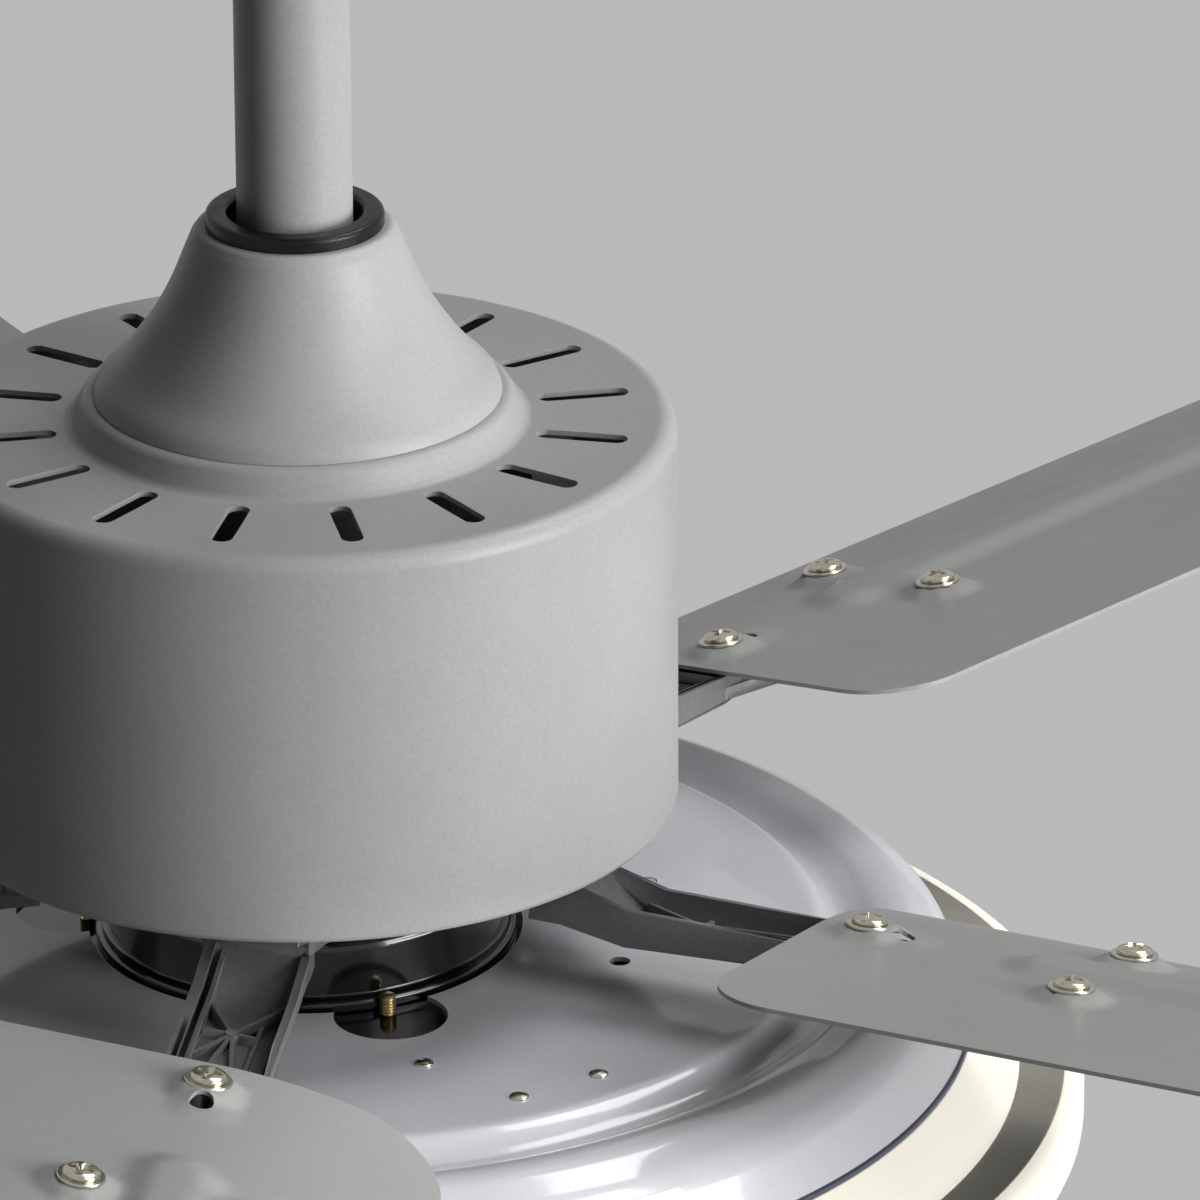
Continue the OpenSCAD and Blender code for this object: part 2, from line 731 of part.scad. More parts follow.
module rotor_upper_bell() {
    in_r = case_r - case_wall;
    pocket = case_top + case_wall;
    color("#9A9A98") difference() {
        union() {
            rotate_extrude($fn = fine) polygon([
                [case_hole_r, depth(case_top)], [case_hub_r, depth(case_top)],
                [case_hub_r, depth(case_shoulder)], [case_r - case_chamfer, depth(case_shoulder)],
                [case_r, depth(case_shoulder + case_chamfer)],
                [case_r, depth(case_split)], [in_r, depth(case_split)],
                [in_r, depth(case_shoulder + case_chamfer + case_wall / 2)],
                [case_r - case_chamfer - case_wall / 2, depth(case_shoulder + case_wall)],
                [case_hub_r, depth(case_shoulder + case_wall)], [case_hub_r, depth(pocket + bearing_w)],
                [bearing_r, depth(pocket + bearing_w)], [bearing_r, depth(pocket)],
                [case_hole_r, depth(pocket)]]);
            case_lugs(depth(case_split));
        }
        lug_holes(depth(case_split));
        case_vent_holes(depth(case_shoulder + case_wall) - over, case_wall + 2 * over);
    }
}

module rotor_lower_bell() {
    in_r = case_r - case_wall;
    lip = case_bottom - bearing_lip;
    color("#9A9A98") difference() {
        union() {
            rotate_extrude($fn = fine) polygon([
                [case_hole_r, depth(case_bottom)], [case_r - case_chamfer, depth(case_bottom)],
                [case_r, depth(case_bottom - case_chamfer)], [case_r, depth(case_split)],
                [in_r, depth(case_split)],
                [in_r, depth(case_bottom - case_chamfer - case_wall / 2)],
                [case_r - case_chamfer - case_wall / 2, depth(case_bottom - case_wall)],
                [case_hub_r, depth(case_bottom - case_wall)], [case_hub_r, depth(lip - bearing_w)],
                [bearing_r, depth(lip - bearing_w)], [bearing_r, depth(lip)], [case_hole_r, depth(lip)]]);
            case_lugs(depth(case_split + lug_h));
        }
        lug_holes(depth(case_split + lug_h));
        for (k = [0:blade_count - 1]) rotate([0, 0, blade_angle(k)]) for (s = [-1, 1])
            translate([iron_screw_u, s * iron_screw_v, depth(case_bottom) - over])
                cylinder(r = iron_screw_r + fit, h = case_wall + 2 * over, $fn = medium);
    }
}

module rotor_ring() {
    color("#5D5F63") ring(case_r - case_wall - fit, stator_r + air_gap, stack_h, depth(stack_top + stack_h));
}

module bell_screws() {
    color(steel) lug_places(depth(case_split) + lug_h)
        pan_screw(bell_screw_r, 2 * lug_h, bell_head_r, bell_head_h, bell_cross_l);
}

// Switch cup
module shaft_nuts() {
    color(brass) for (z = [depth(cup_top), depth(cup_top + cup_wall + nut_t)])
        translate([0, 0, z]) difference() {
            cylinder(d = nut_af / cos(30), h = nut_t, $fn = 6);
            translate([0, 0, -over]) cylinder(r = shaft_r + fit, h = nut_t + 2 * over, $fn = fine);
        }
}

module switch_cup() {
    low = depth(pan_top + pan_t);
    flange_z = low + cup_flange_t;
    top = depth(cup_top);
    shoulder = depth(cup_shoulder);
    outer = rounded([[0, top], [cup_top_r, top], [cup_wall_r, shoulder], [cup_wall_r, flange_z],
        [cup_flange_r, flange_z], [cup_flange_r, low], [0, low]],
        [0, cup_round, cup_round, 0, cup_wall, 0, 0]);
    color(black) difference() {
        rotate_extrude($fn = fine) difference() {
            polygon(outer);
            polygon(rounded([[0, top - cup_wall], [cup_top_r - cup_wall / 2, top - cup_wall],
                [cup_wall_r - cup_wall, shoulder - cup_wall / 2], [cup_wall_r - cup_wall, low - over],
                [0, low - over]],
                [0, cup_round - cup_wall, cup_round - cup_wall, 0, 0]));
        }
        translate([0, 0, top - cup_wall - over])
            cylinder(r = shaft_r + fit, h = cup_wall + 2 * over, $fn = fine);
        cup_screw_places() translate([0, 0, low - over])
            cylinder(r = cup_screw_r + seat, h = cup_flange_t + 2 * over, $fn = medium);
    }
}

module cup_screw_places() {
    for (k = [0:lobe_count - 1]) rotate([0, 0, cup_screw_phase + 360 * k / lobe_count])
        translate([cup_screw_pcr, 0, 0]) children();
}

module run_capacitor() {
    color("#E6E4DA") translate([cap_off, -cap_len / 2, depth(pan_top + pan_t)]) linear_extrude(cap_h)
        polygon(rounded([[0, 0], [cap_w, 0], [cap_w, cap_len], [0, cap_len]],
            [cap_round, cap_round, cap_round, cap_round]));
}

// Lamp
module lamp_plate() {
    color(black) difference() {
        ring(plate_r, plate_hole_r, plate_t, depth(pan_top + pan_t + plate_t));
        cup_screw_places() translate([0, 0, depth(pan_top + pan_t + plate_t) - over])
            cylinder(r = cup_screw_r + fit, h = plate_t + 2 * over, $fn = medium);
    }
}

module cup_screws() {
    low = depth(pan_top + pan_t + plate_t);
    color(brass) cup_screw_places() translate([0, 0, low])
        cylinder(r = cup_screw_r, h = plate_t + cup_flange_t + cup_screw_over, $fn = medium);
}

function pan_line(drop) = [
    [0, -drop], [step_r, -drop], [(step_r + groove_r) / 2, -groove_depth / 2 - drop],
    [groove_r, -groove_depth - drop], [(groove_r + crest_r - crest_width) / 2, -groove_out_depth - drop],
    [crest_r - crest_width, -crest_in_depth - drop], [crest_r, -crest_depth - drop],
    [crest_r + crest_width, -crest_out_depth - drop], [pan_r, -pan_shoulder - drop]];

module light_pan() {
    n = len(pan_line(0)) - 1;
    color(pan_grey) translate([0, 0, depth(pan_top)]) difference() {
        rotate_extrude($fn = finest) polygon(concat(pan_line(0),
            [[rim_r, -rim_depth], [rim_r - pan_t, -rim_depth], [pan_r - pan_t, -pan_shoulder - pan_t / 2]],
            [for (i = [n - 1:-1:0]) pan_line(pan_t)[i]]));
        translate([0, 0, -pan_t - over]) {
            cylinder(r = pan_hole_r, h = pan_t + 2 * over, $fn = fine);
            for (k = [0:lobe_count - 1]) rotate([0, 0, lobe_phase + 360 * k / lobe_count])
                translate([lobe_pcr, 0, 0]) cylinder(r = lobe_r, h = pan_t + 2 * over, $fn = medium);
            rotate([0, 0, pan_hole_small_az]) translate([pan_hole_small_pcr, 0, 0])
                cylinder(r = pan_hole_small_r, h = pan_t + 2 * over, $fn = medium);
        }
    }
}

module pan_rivets() {
    color(steel) for (set = [[rivet_in_r, rivet_in_az], [rivet_out_r, rivet_out_az]], a = set[1])
        rotate([0, 0, a]) translate([set[0], 0, depth(pan_top)]) intersection() {
            cylinder(r = rivet_r, h = rivet_h, $fn = medium);
            translate([0, 0, rivet_h - 2 * rivet_r]) sphere(r = 2 * rivet_r, $fn = medium);
        }
}

module lamp_standoffs() {
    low = depth(pan_top + rim_depth);
    color(steel) for (k = [0:lobe_count - 1]) rotate([0, 0, 360 * k / lobe_count])
        translate([standoff_pcr, 0, low])
            cylinder(r = standoff_r, h = depth(pan_top + pan_t + plate_t) - low, $fn = 6);
}

module lamp_base() {
    color("#5E6475") ring(base_r, base_hole_r, base_t, depth(pan_top + rim_depth + base_t));
}

module led_driver() {
    color("#E9E9E6") translate([-driver_len / 2, driver_r - driver_w / 2, depth(pan_top + rim_depth)])
        linear_extrude(driver_h) polygon(rounded(
            [[0, 0], [driver_len, 0], [driver_len, driver_w], [0, driver_w]],
            [cap_round, cap_round, cap_round, cap_round]));
}

module led_board() {
    color("#F2F2EE") ring(board_out_r, board_in_r, board_t, depth(pan_top + rim_depth + base_t + board_t));
}

module led_chips() {
    color("#F5E27A") for (row = [0, 1]) for (k = [0:chip_counts[row] - 1])
        rotate([0, 0, 360 * k / chip_counts[row]])
            translate([chip_rows[row] - chip_w / 2, -chip_w / 2,
                depth(pan_top + rim_depth + base_t + board_t + chip_t)]) cube([chip_w, chip_w, chip_t]);
}

module upper_diffuser() {
    top = depth(pan_top + rim_depth + base_t);
    low = depth(pan_top + trim_depth);
    color(cream) rotate_extrude($fn = finest) polygon([[base_r - upper_t, top], [base_r, top],
        [trim_in_r + fit, low], [trim_in_r - upper_t, low]]);
}

module trim_ring() {
    color("#4C4E50") ring(trim_out_r, trim_in_r - upper_t, trim_t, depth(pan_top + trim_depth + trim_t));
}

module lower_diffuser() {
    top = depth(pan_top + trim_depth);
    ledge = top - trim_t;
    low = top - diffuser_h;
    in_r = lamp_r - lower_t;
    color(cream) rotate_extrude($fn = finest) difference() {
        polygon(rounded([[0, low], [lamp_r, low], [lamp_r, top], [0, top]], [0, lower_round, lower_edge, 0]));
        polygon(rounded([[0, low + lower_t], [in_r, low + lower_t], [in_r, ledge - lower_t],
            [0, ledge - lower_t]], [0, lower_round - lower_t, 0, 0]));
        translate([0, ledge - lower_t - over]) square([trim_in_r - upper_t, diffuser_h]);
        translate([0, ledge]) square([trim_out_r + fit, diffuser_h]);
    }
}

// Blade irons
function blade_angle(k) = blade_phase + 360 * k / blade_count;

// Frame of blade k: x along the blade, y across it towards the trailing side, z off its face
module blade_frame(k) {
    rotate([0, 0, blade_angle(k)]) translate([0, 0, depth(blade_top)]) rotate([-pitch, 0, 0]) children();
}

// Height of the blade's top face at v, before its dimples
function face(v) = v <= 0 ? 0 : sqrt(pow(camber_r, 2) - pow(v, 2)) - camber_r;

screw_uv = [[inner_u, 0], [outer_u, outer_v], [outer_u, -outer_v]];
wall_top = -blade_t - iron_top;
hub_rise = blade_top - case_bottom;
hub_top = hub_rise - iron_hw * tan(pitch) - seat;
arm_u = iron_screw_u + pan_head_r + seat;
arm_end_top = face(outer_v + iron_end_r) - blade_t - iron_top;

// Extrudes a side view, drawn along and off the blade, across the width
module across(half) {
    rotate([90, 0, 0]) translate([0, 0, -half]) linear_extrude(2 * half) children();
}

// Underside of the arm, raised by a floor's thickness for the inside
function arm_low(lift) = [[inner_u, wall_top - iron_plate_t + lift],
    [root_u, wall_top - iron_root_deep + lift], [iron_belly_u, wall_top - iron_deep + lift],
    [iron_pad_end_u, wall_top - iron_hub_deep + lift], [arm_u, wall_top - iron_hub_deep + lift]];

module iron_arm() {
    difference() {
        across(iron_hw) polygon(concat([[arm_u, hub_top], [iron_pad_end_u, hub_top], [iron_belly_u, wall_top],
            [inner_u, wall_top]], arm_low(0)));
        across(iron_hw - iron_wall) polygon(concat([[arm_u, deep], [root_u, deep],
            [root_u, wall_top - iron_root_deep + iron_floor]], [for (i = [2:4]) arm_low(iron_floor)[i]]));
    }
    intersection() {
        union() {
            translate([star_u, 0, -deep]) cylinder(r = star_hub_r, h = 2 * deep, $fn = medium);
            for (a = star_angles) translate([star_u, 0, -deep]) rotate([0, 0, a])
                translate([0, -star_t / 2, 0]) cube([star_u - arm_u, star_t, 2 * deep]);
            translate([arm_u, -iron_hw + iron_wall + side_rib, -deep])
                cube([root_u - arm_u, star_t, 2 * deep]);
        }
        across(iron_hw - iron_wall / 2) polygon(concat(
            [[arm_u, wall_top - iron_hub_deep + iron_floor + star_h],
            [iron_belly_u, wall_top - iron_deep + iron_floor + star_h],
            [root_u + over, wall_top - iron_root_deep + iron_floor + star_h]],
            [for (i = [1:4]) arm_low(0)[i]]));
    }
}

module iron_holes(k) {
    rotate([0, 0, blade_angle(k)]) for (s = [-1, 1])
        translate([iron_screw_u, s * iron_screw_v, depth(case_bottom + deep)])
            cylinder(r = iron_screw_r + fit, h = 2 * deep, $fn = medium);
    blade_frame(k) for (p = screw_uv) translate([p[0], p[1], -deep])
        cylinder(r = blade_screw_r + fit, h = 2 * deep, $fn = medium);
}

module blade_iron(k) {
    color("#77797B") difference() {
        union() {
            rotate([0, 0, blade_angle(k)]) {
                translate([0, 0, depth(case_bottom + iron_pad_t)]) linear_extrude(iron_pad_t)
                    polygon(rounded([[iron_start_u, -iron_pad_hw], [iron_pad_end_u, -iron_hw],
                        [iron_pad_end_u, iron_hw], [iron_start_u, iron_pad_hw]],
                        [iron_corner, iron_corner, iron_corner, iron_corner]));
                across(iron_hw) polygon([[arm_u, depth(case_bottom)], [iron_pad_end_u, depth(case_bottom)],
                    [iron_pad_end_u + iron_wall, depth(case_bottom + iron_pad_t)],
                    [iron_pad_end_u, depth(blade_top + iron_hub_deep)],
                    [arm_u, depth(blade_top + iron_hub_deep)]]);
            }
            blade_frame(k) {
                iron_arm();
                translate([0, 0, arm_end_top - iron_plate_t]) linear_extrude(iron_plate_t)
                    polygon(rounded([[root_u, -iron_hw], [outer_u + iron_end_r, -outer_v - iron_end_r],
                        [outer_u + iron_end_r, outer_v + iron_end_r], [root_u, iron_hw]],
                        [iron_wall, iron_end_r, iron_end_r, iron_wall]));
                for (p = screw_uv) translate([p[0], p[1], arm_end_top - iron_plate_t])
                    cylinder(r = boss_r, h = face(p[1]) + dimple_h - blade_t - arm_end_top + iron_plate_t,
                        $fn = medium);
            }
        }
        iron_holes(k);
    }
}

module iron_screws() {
    color(steel) for (k = [0:blade_count - 1]) rotate([0, 0, blade_angle(k)]) for (s = [-1, 1])
        translate([iron_screw_u, s * iron_screw_v, depth(case_bottom + iron_pad_t)]) rotate([180, 0, 0])
            pan_screw(iron_screw_r, iron_pad_t + case_wall, pan_head_r, pan_head_h);
}

// Blades
// Solid below the blade's top face, lowered by the sheet's thickness for the inside
module blade_mass(drop) {
    low = -deep - drop;
    reach = lead_w + trail_w;
    translate([0, -reach, low]) cube([tip_r + over, reach, -low - drop]);
    intersection() {
        translate([0, 0, -camber_r]) rotate([0, 90, 0])
            cylinder(r = camber_r - drop, h = tip_r + over, $fn = 2 * fine);
        translate([0, 0, low]) cube([tip_r + over, reach, -low]);
    }
    intersection() {
        translate([0, bead_v, bead_h - bead_r]) {
            for (u = [bead_u, tip_r - bead_end]) translate([u, 0, 0]) sphere(r = bead_r - drop, $fn = fine);
            translate([bead_u, 0, 0]) rotate([0, 90, 0])
                cylinder(r = bead_r - drop, h = tip_r - bead_end - bead_u, $fn = fine);
        }
        translate([0, -reach, low]) cube([2 * tip_r, 2 * reach, -low + deep]);
    }
    for (p = screw_uv) translate([p[0], p[1], face(p[1]) - drop]) dimple(dimple_h);
    translate([inner_u + dimple_run, 0, -drop]) dimple(dimple_h * run_share);
}

module dimple(h) {
    translate([0, 0, -dimple_root]) cylinder(r = dimple_foot_r, h = dimple_root, $fn = medium);
    cylinder(r1 = dimple_foot_r, r2 = dimple_top_r, h = h, $fn = medium);
}

module blade(k) {
    color(grey) blade_frame(k) difference() {
        intersection() {
            translate([0, 0, -deep + over]) linear_extrude(2 * deep) polygon(rounded(
                [[root_u, -lead_w], [tip_r, -lead_w], [tip_r, trail_w - trail_taper], [root_u, trail_w]],
                [root_lead_round, tip_lead_round, tip_trail_round, root_trail_round]));
            difference() {
                blade_mass(0);
                blade_mass(blade_t);
            }
        }
        for (p = screw_uv) translate([p[0], p[1], -deep])
            cylinder(r = blade_screw_r + fit, h = 2 * deep, $fn = medium);
        translate([key_u, 0, -deep]) cylinder(r = key_r, h = 2 * deep, $fn = medium);
    }
}

module blade_washers() {
    color(steel) for (k = [0:blade_count - 1]) blade_frame(k) for (p = screw_uv)
        translate([p[0], p[1], 0]) ring(washer_r, blade_screw_r + fit, washer_t, face(p[1]) + dimple_h);
}

module blade_screws() {
    len = washer_t + dimple_h - arm_end_top + iron_plate_t;
    color(steel) for (k = [0:blade_count - 1]) blade_frame(k) for (p = screw_uv)
        translate([p[0], p[1], face(p[1]) + dimple_h + washer_t])
            pan_screw(blade_screw_r, len + face(p[1]), blade_head_r, blade_head_h, blade_cross_l);
}

ceiling_bracket();
canopy();
canopy_screws();
hanger_ball();
ball_cross_pin();
downrod();
rod_seal_ring();
yoke_cover();
yoke();
clevis_pin();
clevis_clip();
clamp_ring();
yoke_screws();
motor_housing();
motor_shaft();
shaft_circlip();
stator_core();
stator_windings();
shaft_nuts();
switch_cup();
run_capacitor();
lamp_plate();
cup_screws();
light_pan();
pan_rivets();
lamp_standoffs();
lamp_base();
led_driver();
led_board();
led_chips();
upper_diffuser();
trim_ring();
lower_diffuser();
rotor_upper_bell();
rotor_lower_bell();
rotor_ring();
upper_bearing();
lower_bearing();
bell_screws();
blade_iron(0);  // blade_iron_1
blade_iron(1);  // blade_iron_2
blade_iron(2);  // blade_iron_3
blade_iron(3);  // blade_iron_4
blade_iron(4);  // blade_iron_5
iron_screws();
blade(0);  // blade_1
blade(1);  // blade_2
blade(2);  // blade_3
blade(3);  // blade_4
blade(4);  // blade_5
blade_washers();
blade_screws();
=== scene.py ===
import json
import math

import bmesh
import bpy
from mathutils import Matrix, Vector

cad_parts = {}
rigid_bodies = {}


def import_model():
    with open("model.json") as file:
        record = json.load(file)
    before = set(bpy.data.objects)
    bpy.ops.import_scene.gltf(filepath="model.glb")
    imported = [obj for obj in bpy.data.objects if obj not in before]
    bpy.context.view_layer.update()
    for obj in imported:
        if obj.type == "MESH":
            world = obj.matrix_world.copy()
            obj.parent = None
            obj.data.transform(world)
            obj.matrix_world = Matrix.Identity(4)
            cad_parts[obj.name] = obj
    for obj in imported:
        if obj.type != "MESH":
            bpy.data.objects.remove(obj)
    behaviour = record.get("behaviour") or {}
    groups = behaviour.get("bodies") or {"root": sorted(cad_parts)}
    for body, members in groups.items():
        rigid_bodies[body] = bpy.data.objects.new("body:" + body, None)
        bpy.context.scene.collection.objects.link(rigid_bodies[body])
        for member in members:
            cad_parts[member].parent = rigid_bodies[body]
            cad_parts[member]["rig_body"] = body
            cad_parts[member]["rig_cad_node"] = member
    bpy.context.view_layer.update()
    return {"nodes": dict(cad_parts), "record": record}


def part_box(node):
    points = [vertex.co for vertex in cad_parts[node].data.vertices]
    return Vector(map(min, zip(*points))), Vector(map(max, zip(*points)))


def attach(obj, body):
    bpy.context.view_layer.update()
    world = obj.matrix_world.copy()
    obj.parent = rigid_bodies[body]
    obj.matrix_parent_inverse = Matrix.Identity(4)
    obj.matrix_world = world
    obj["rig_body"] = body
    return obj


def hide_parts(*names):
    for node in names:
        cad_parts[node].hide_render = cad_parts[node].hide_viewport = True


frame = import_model()
nodes = frame["nodes"]
record = frame["record"]
slot_of = {part["node"]: part["material_slot"] for part in record["subparts"]}
body_of = {node: body for body, members in record["behaviour"]["bodies"].items() for node in members}

MM = 0.001
ROUND = 2 * math.pi


def upper(node):
    """Height of a CAD node's highest point."""
    return round(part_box(node)[1].z / MM, 3)


def lower(node):
    """Height of a CAD node's lowest point."""
    return round(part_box(node)[0].z / MM, 3)


def radius_of(node):
    """Outer radius of a CAD node that is round about the fan's axis."""
    return round(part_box(node)[1].x / MM, 3)


SEAT_H = 6.4                               # raised seat for the cone, over the drum's flat top
PLATE = upper("motor_housing") - SEAT_H    # height of the drum's flat top
WALL = 1.2                                 # pressed steel sheet of drum, cone, cup and pan
BLADES = 5
FIRST_BLADE = 45
PITCH = 9.5
CAMBER_R = 150                             # bend of a blade's trailing half
BLADE_Z = PLATE - 102                      # sheet's top on the fan's axis
BLADE_T = 1
RAISED = 2                                 # height of a blade's bead and dimples over its face
BOLTS = ((142, 0), (199, 18.6), (199, -18.6))    # blade screws, along and across the blade
BOLT_HOLE_R = 2.35
WASHER_T = 0.8


# Shaping

def alone(piece):
    """Makes piece the one selected and active object."""
    bpy.ops.object.select_all(action="DESELECT")
    piece.select_set(True)
    bpy.context.view_layer.objects.active = piece


def edit(piece):
    alone(piece)
    bpy.ops.object.mode_set(mode="EDIT")
    bpy.ops.mesh.select_all(action="DESELECT")


def done():
    bpy.ops.object.mode_set(mode="OBJECT")


def pick(piece, test):
    """In edit mode, selects the vertices whose place in millimetres passes the test."""
    bpy.ops.mesh.select_all(action="DESELECT")
    form = bmesh.from_edit_mesh(piece.data)
    for point in form.verts:
        if test(point.co / MM):
            point.select_set(True)
    form.select_flush_mode()
    bmesh.update_edit_mesh(piece.data)


def move(x=0, y=0, z=0, reach=0):
    """Moves what is picked, and what lies within reach of it by a smoothly falling share."""
    bpy.ops.transform.translate(value=(x * MM, y * MM, z * MM), use_proportional_edit=reach > 0,
                                proportional_edit_falloff="SMOOTH", proportional_size=max(reach, 0.1) * MM)


def named(name):
    piece = bpy.context.object
    piece.name = piece.data.name = name
    return piece


def apply(piece, kind, **settings):
    """Adds a modifier with its settings and applies it."""
    alone(piece)
    made = piece.modifiers.new(kind.lower(), kind)
    for name, value in settings.items():
        setattr(made, name, value)
    bpy.ops.object.modifier_apply(modifier=made.name)


def cut(piece, cutter, operation="DIFFERENCE"):
    apply(piece, "BOOLEAN", object=cutter, operation=operation, solver="EXACT")
    bpy.data.objects.remove(cutter)


def soften(piece, width, angle=40, segments=2):
    """Breaks the sharp edges and evens the shading."""
    apply(piece, "BEVEL", width=width * MM, segments=segments, limit_method="ANGLE",
          angle_limit=math.radians(angle), use_clamp_overlap=True)
    smooth(piece)


def smooth(piece, angle=32):
    alone(piece)
    bpy.ops.object.shade_smooth_by_angle(angle=math.radians(angle), keep_sharp_edges=False)
    apply(piece, "WEIGHTED_NORMAL", keep_sharp=True, weight=80)


def rounded(points, radii, steps=6):
    """The outline with its corners rounded by the radii."""
    line = []
    for k, corner in enumerate(points):
        before, after = points[k - 1], points[(k + 1) % len(points)]
        here = Vector(corner)
        to_before, to_after = (Vector(before) - here), (Vector(after) - here)
        if not radii[k]:
            line.append(tuple(here))
            continue
        to_before.normalize()
        to_after.normalize()
        half = to_before.angle(to_after) / 2
        centre = here + (to_before + to_after).normalized() * radii[k] / math.sin(half)
        start = here + to_before * radii[k] / math.tan(half) - centre
        end = here + to_after * radii[k] / math.tan(half) - centre
        first = math.atan2(start.y, start.x)
        sweep = (math.atan2(end.y, end.x) - first + 3 * math.pi) % ROUND - math.pi
        for i in range(steps + 1):
            a = first + sweep * i / steps
            line.append((centre.x + radii[k] * math.cos(a), centre.y + radii[k] * math.sin(a)))
    return line


def flowing(points, steps=4):
    """A smooth line through the points."""
    line = []
    for k in range(len(points) - 1):
        p0, p1 = Vector(points[max(k - 1, 0)]), Vector(points[k])
        p2, p3 = Vector(points[k + 1]), Vector(points[min(k + 2, len(points) - 1)])
        for i in range(steps):
            t = i / steps
            line.append(tuple(0.5 * (2 * p1 + (p2 - p0) * t + (2 * p0 - 5 * p1 + 4 * p2 - p3) * t * t
                                     + (3 * p1 - p0 - 3 * p2 + p3) * t ** 3)))
    return line + [tuple(points[-1])]


def drawn(name, line):
    """A line of edges in the XZ plane, drawn by extruding one point along the outline."""
    bpy.ops.object.select_all(action="DESELECT")
    bpy.ops.mesh.primitive_plane_add(size=MM)
    piece = named(name)
    bpy.ops.object.mode_set(mode="EDIT")
    bpy.ops.mesh.merge(type="CENTER")
    move(line[0][0], 0, line[0][1])
    for (r0, z0), (r1, z1) in zip(line, line[1:]):
        bpy.ops.mesh.extrude_region_move(
            TRANSFORM_OT_translate={"value": ((r1 - r0) * MM, 0, (z1 - z0) * MM)})
    return piece


def turned(name, line, steps, closed=True):
    """A turned piece: the outline drawn as a line and spun about the fan's axis."""
    piece = drawn(name, line + line[:1] if closed else line)
    bpy.ops.mesh.select_all(action="SELECT")
    bpy.ops.mesh.spin(steps=steps, angle=ROUND, center=(0, 0, 0), axis=(0, 0, 1))
    bpy.ops.mesh.select_all(action="SELECT")
    bpy.ops.mesh.remove_doubles(threshold=0.002 * MM)
    bpy.ops.mesh.normals_make_consistent(inside=False)
    done()
    return piece


def slab(name, line, low, high):
    """A prism: the outline (x, z) filled with a face and extruded along Y from low to high."""
    piece = drawn(name, line + line[:1])
    bpy.ops.mesh.select_all(action="SELECT")
    bpy.ops.mesh.remove_doubles(threshold=0.002 * MM)
    bpy.ops.mesh.select_all(action="SELECT")
    move(y=low)
    bpy.ops.mesh.edge_face_add()
    bpy.ops.mesh.extrude_region_move(TRANSFORM_OT_translate={"value": (0, (high - low) * MM, 0)})
    bpy.ops.mesh.select_all(action="SELECT")
    bpy.ops.mesh.normals_make_consistent(inside=False)
    done()
    return piece


def plate(name, line, low, high):
    """A flat plate: the outline (x, y) between two heights."""
    return placed(slab(name, line, -high, -low), about(-90, "X"))


def disc(radius, z, height, place=(0, 0), sides=64):
    """A plug that cuts a round hole, with its middle at height z."""
    bpy.ops.object.select_all(action="DESELECT")
    bpy.ops.mesh.primitive_cylinder_add(vertices=sides, radius=radius * MM, depth=height * MM,
                                        location=(place[0] * MM, place[1] * MM, z * MM))
    bpy.ops.object.transform_apply(location=True, rotation=True, scale=True)
    return named("plug")


def ring_of(count, radius, first):
    """Places of so many holes on a circle about the fan's axis."""
    angles = [math.radians(first + 360 / count * k) for k in range(count)]
    return [(radius * math.cos(a), radius * math.sin(a)) for a in angles]


def placed(piece, matrix):
    """Puts piece where the matrix says and leaves that in its mesh."""
    piece.matrix_world = matrix
    alone(piece)
    bpy.ops.object.transform_apply(location=True, rotation=True, scale=True)
    return piece


def copied(piece, name, matrix):
    alone(piece)
    bpy.ops.object.duplicate(linked=False)
    return placed(named(name), matrix)


def joined(pieces, name):
    bpy.ops.object.select_all(action="DESELECT")
    for piece in pieces:
        piece.select_set(True)
    bpy.context.view_layer.objects.active = pieces[0]
    bpy.ops.object.join()
    return named(name)


def shifted(x=0, y=0, z=0):
    return Matrix.Translation((x * MM, y * MM, z * MM))


def about(degrees, axis="Z"):
    return Matrix.Rotation(math.radians(degrees), 4, axis)


# Materials

def linear(code):
    """sRGB hex to linear red, green, blue and alpha."""
    channels = [int(code[i:i + 2], 16) / 255 for i in (1, 3, 5)]
    return [c / 12.92 if c <= 0.04045 else ((c + 0.055) / 1.055) ** 2.4 for c in channels] + [1]


def add(tree, kind, inputs=None, **settings):
    """Adds a shader node with its settings, values and links."""
    made = tree.nodes.new("ShaderNode" + kind)
    for name, value in settings.items():
        setattr(made, name, value)
    for name, value in (inputs or {}).items():
        if isinstance(value, bpy.types.NodeSocket):
            tree.links.new(value, made.inputs[name])
        else:
            made.inputs[name].default_value = value
    return made


def started(name, **values):
    """A new material, its tree, its shader and the piece's own coordinates."""
    material = bpy.data.materials.new(name)
    material.use_nodes = True
    tree = material.node_tree
    tree.nodes.clear()
    shader = add(tree, "BsdfPrincipled", {key.replace("_", " "): value for key, value in values.items()})
    add(tree, "OutputMaterial", {"Surface": shader.outputs["BSDF"]})
    place = add(tree, "TexCoord").outputs["Object"]
    return material, tree, shader, place


def per(millimetres):
    """Noise scale whose features are about that size."""
    return 1 / (millimetres * MM)


def mottle(tree, shader, place, dark, light, size, fine, share=0.5):
    """Colour that drifts between two tones in clouds of one size, with a finer grain over them."""
    cloud = add(tree, "TexNoise", {"Vector": place, "Scale": per(size), "Detail": 3})
    grain = add(tree, "TexNoise", {"Vector": place, "Scale": per(fine), "Detail": 2})
    both = add(tree, "Mix", {0: share, 2: cloud.outputs["Fac"], 3: grain.outputs["Fac"]})
    spread = add(tree, "MapRange", {"Value": both.outputs[0], "From Min": 0.36, "From Max": 0.64})
    tone = add(tree, "Mix", {0: spread.outputs[0], 6: linear(dark), 7: linear(light)}, data_type="RGBA")
    tree.links.new(tone.outputs[2], shader.inputs["Base Color"])


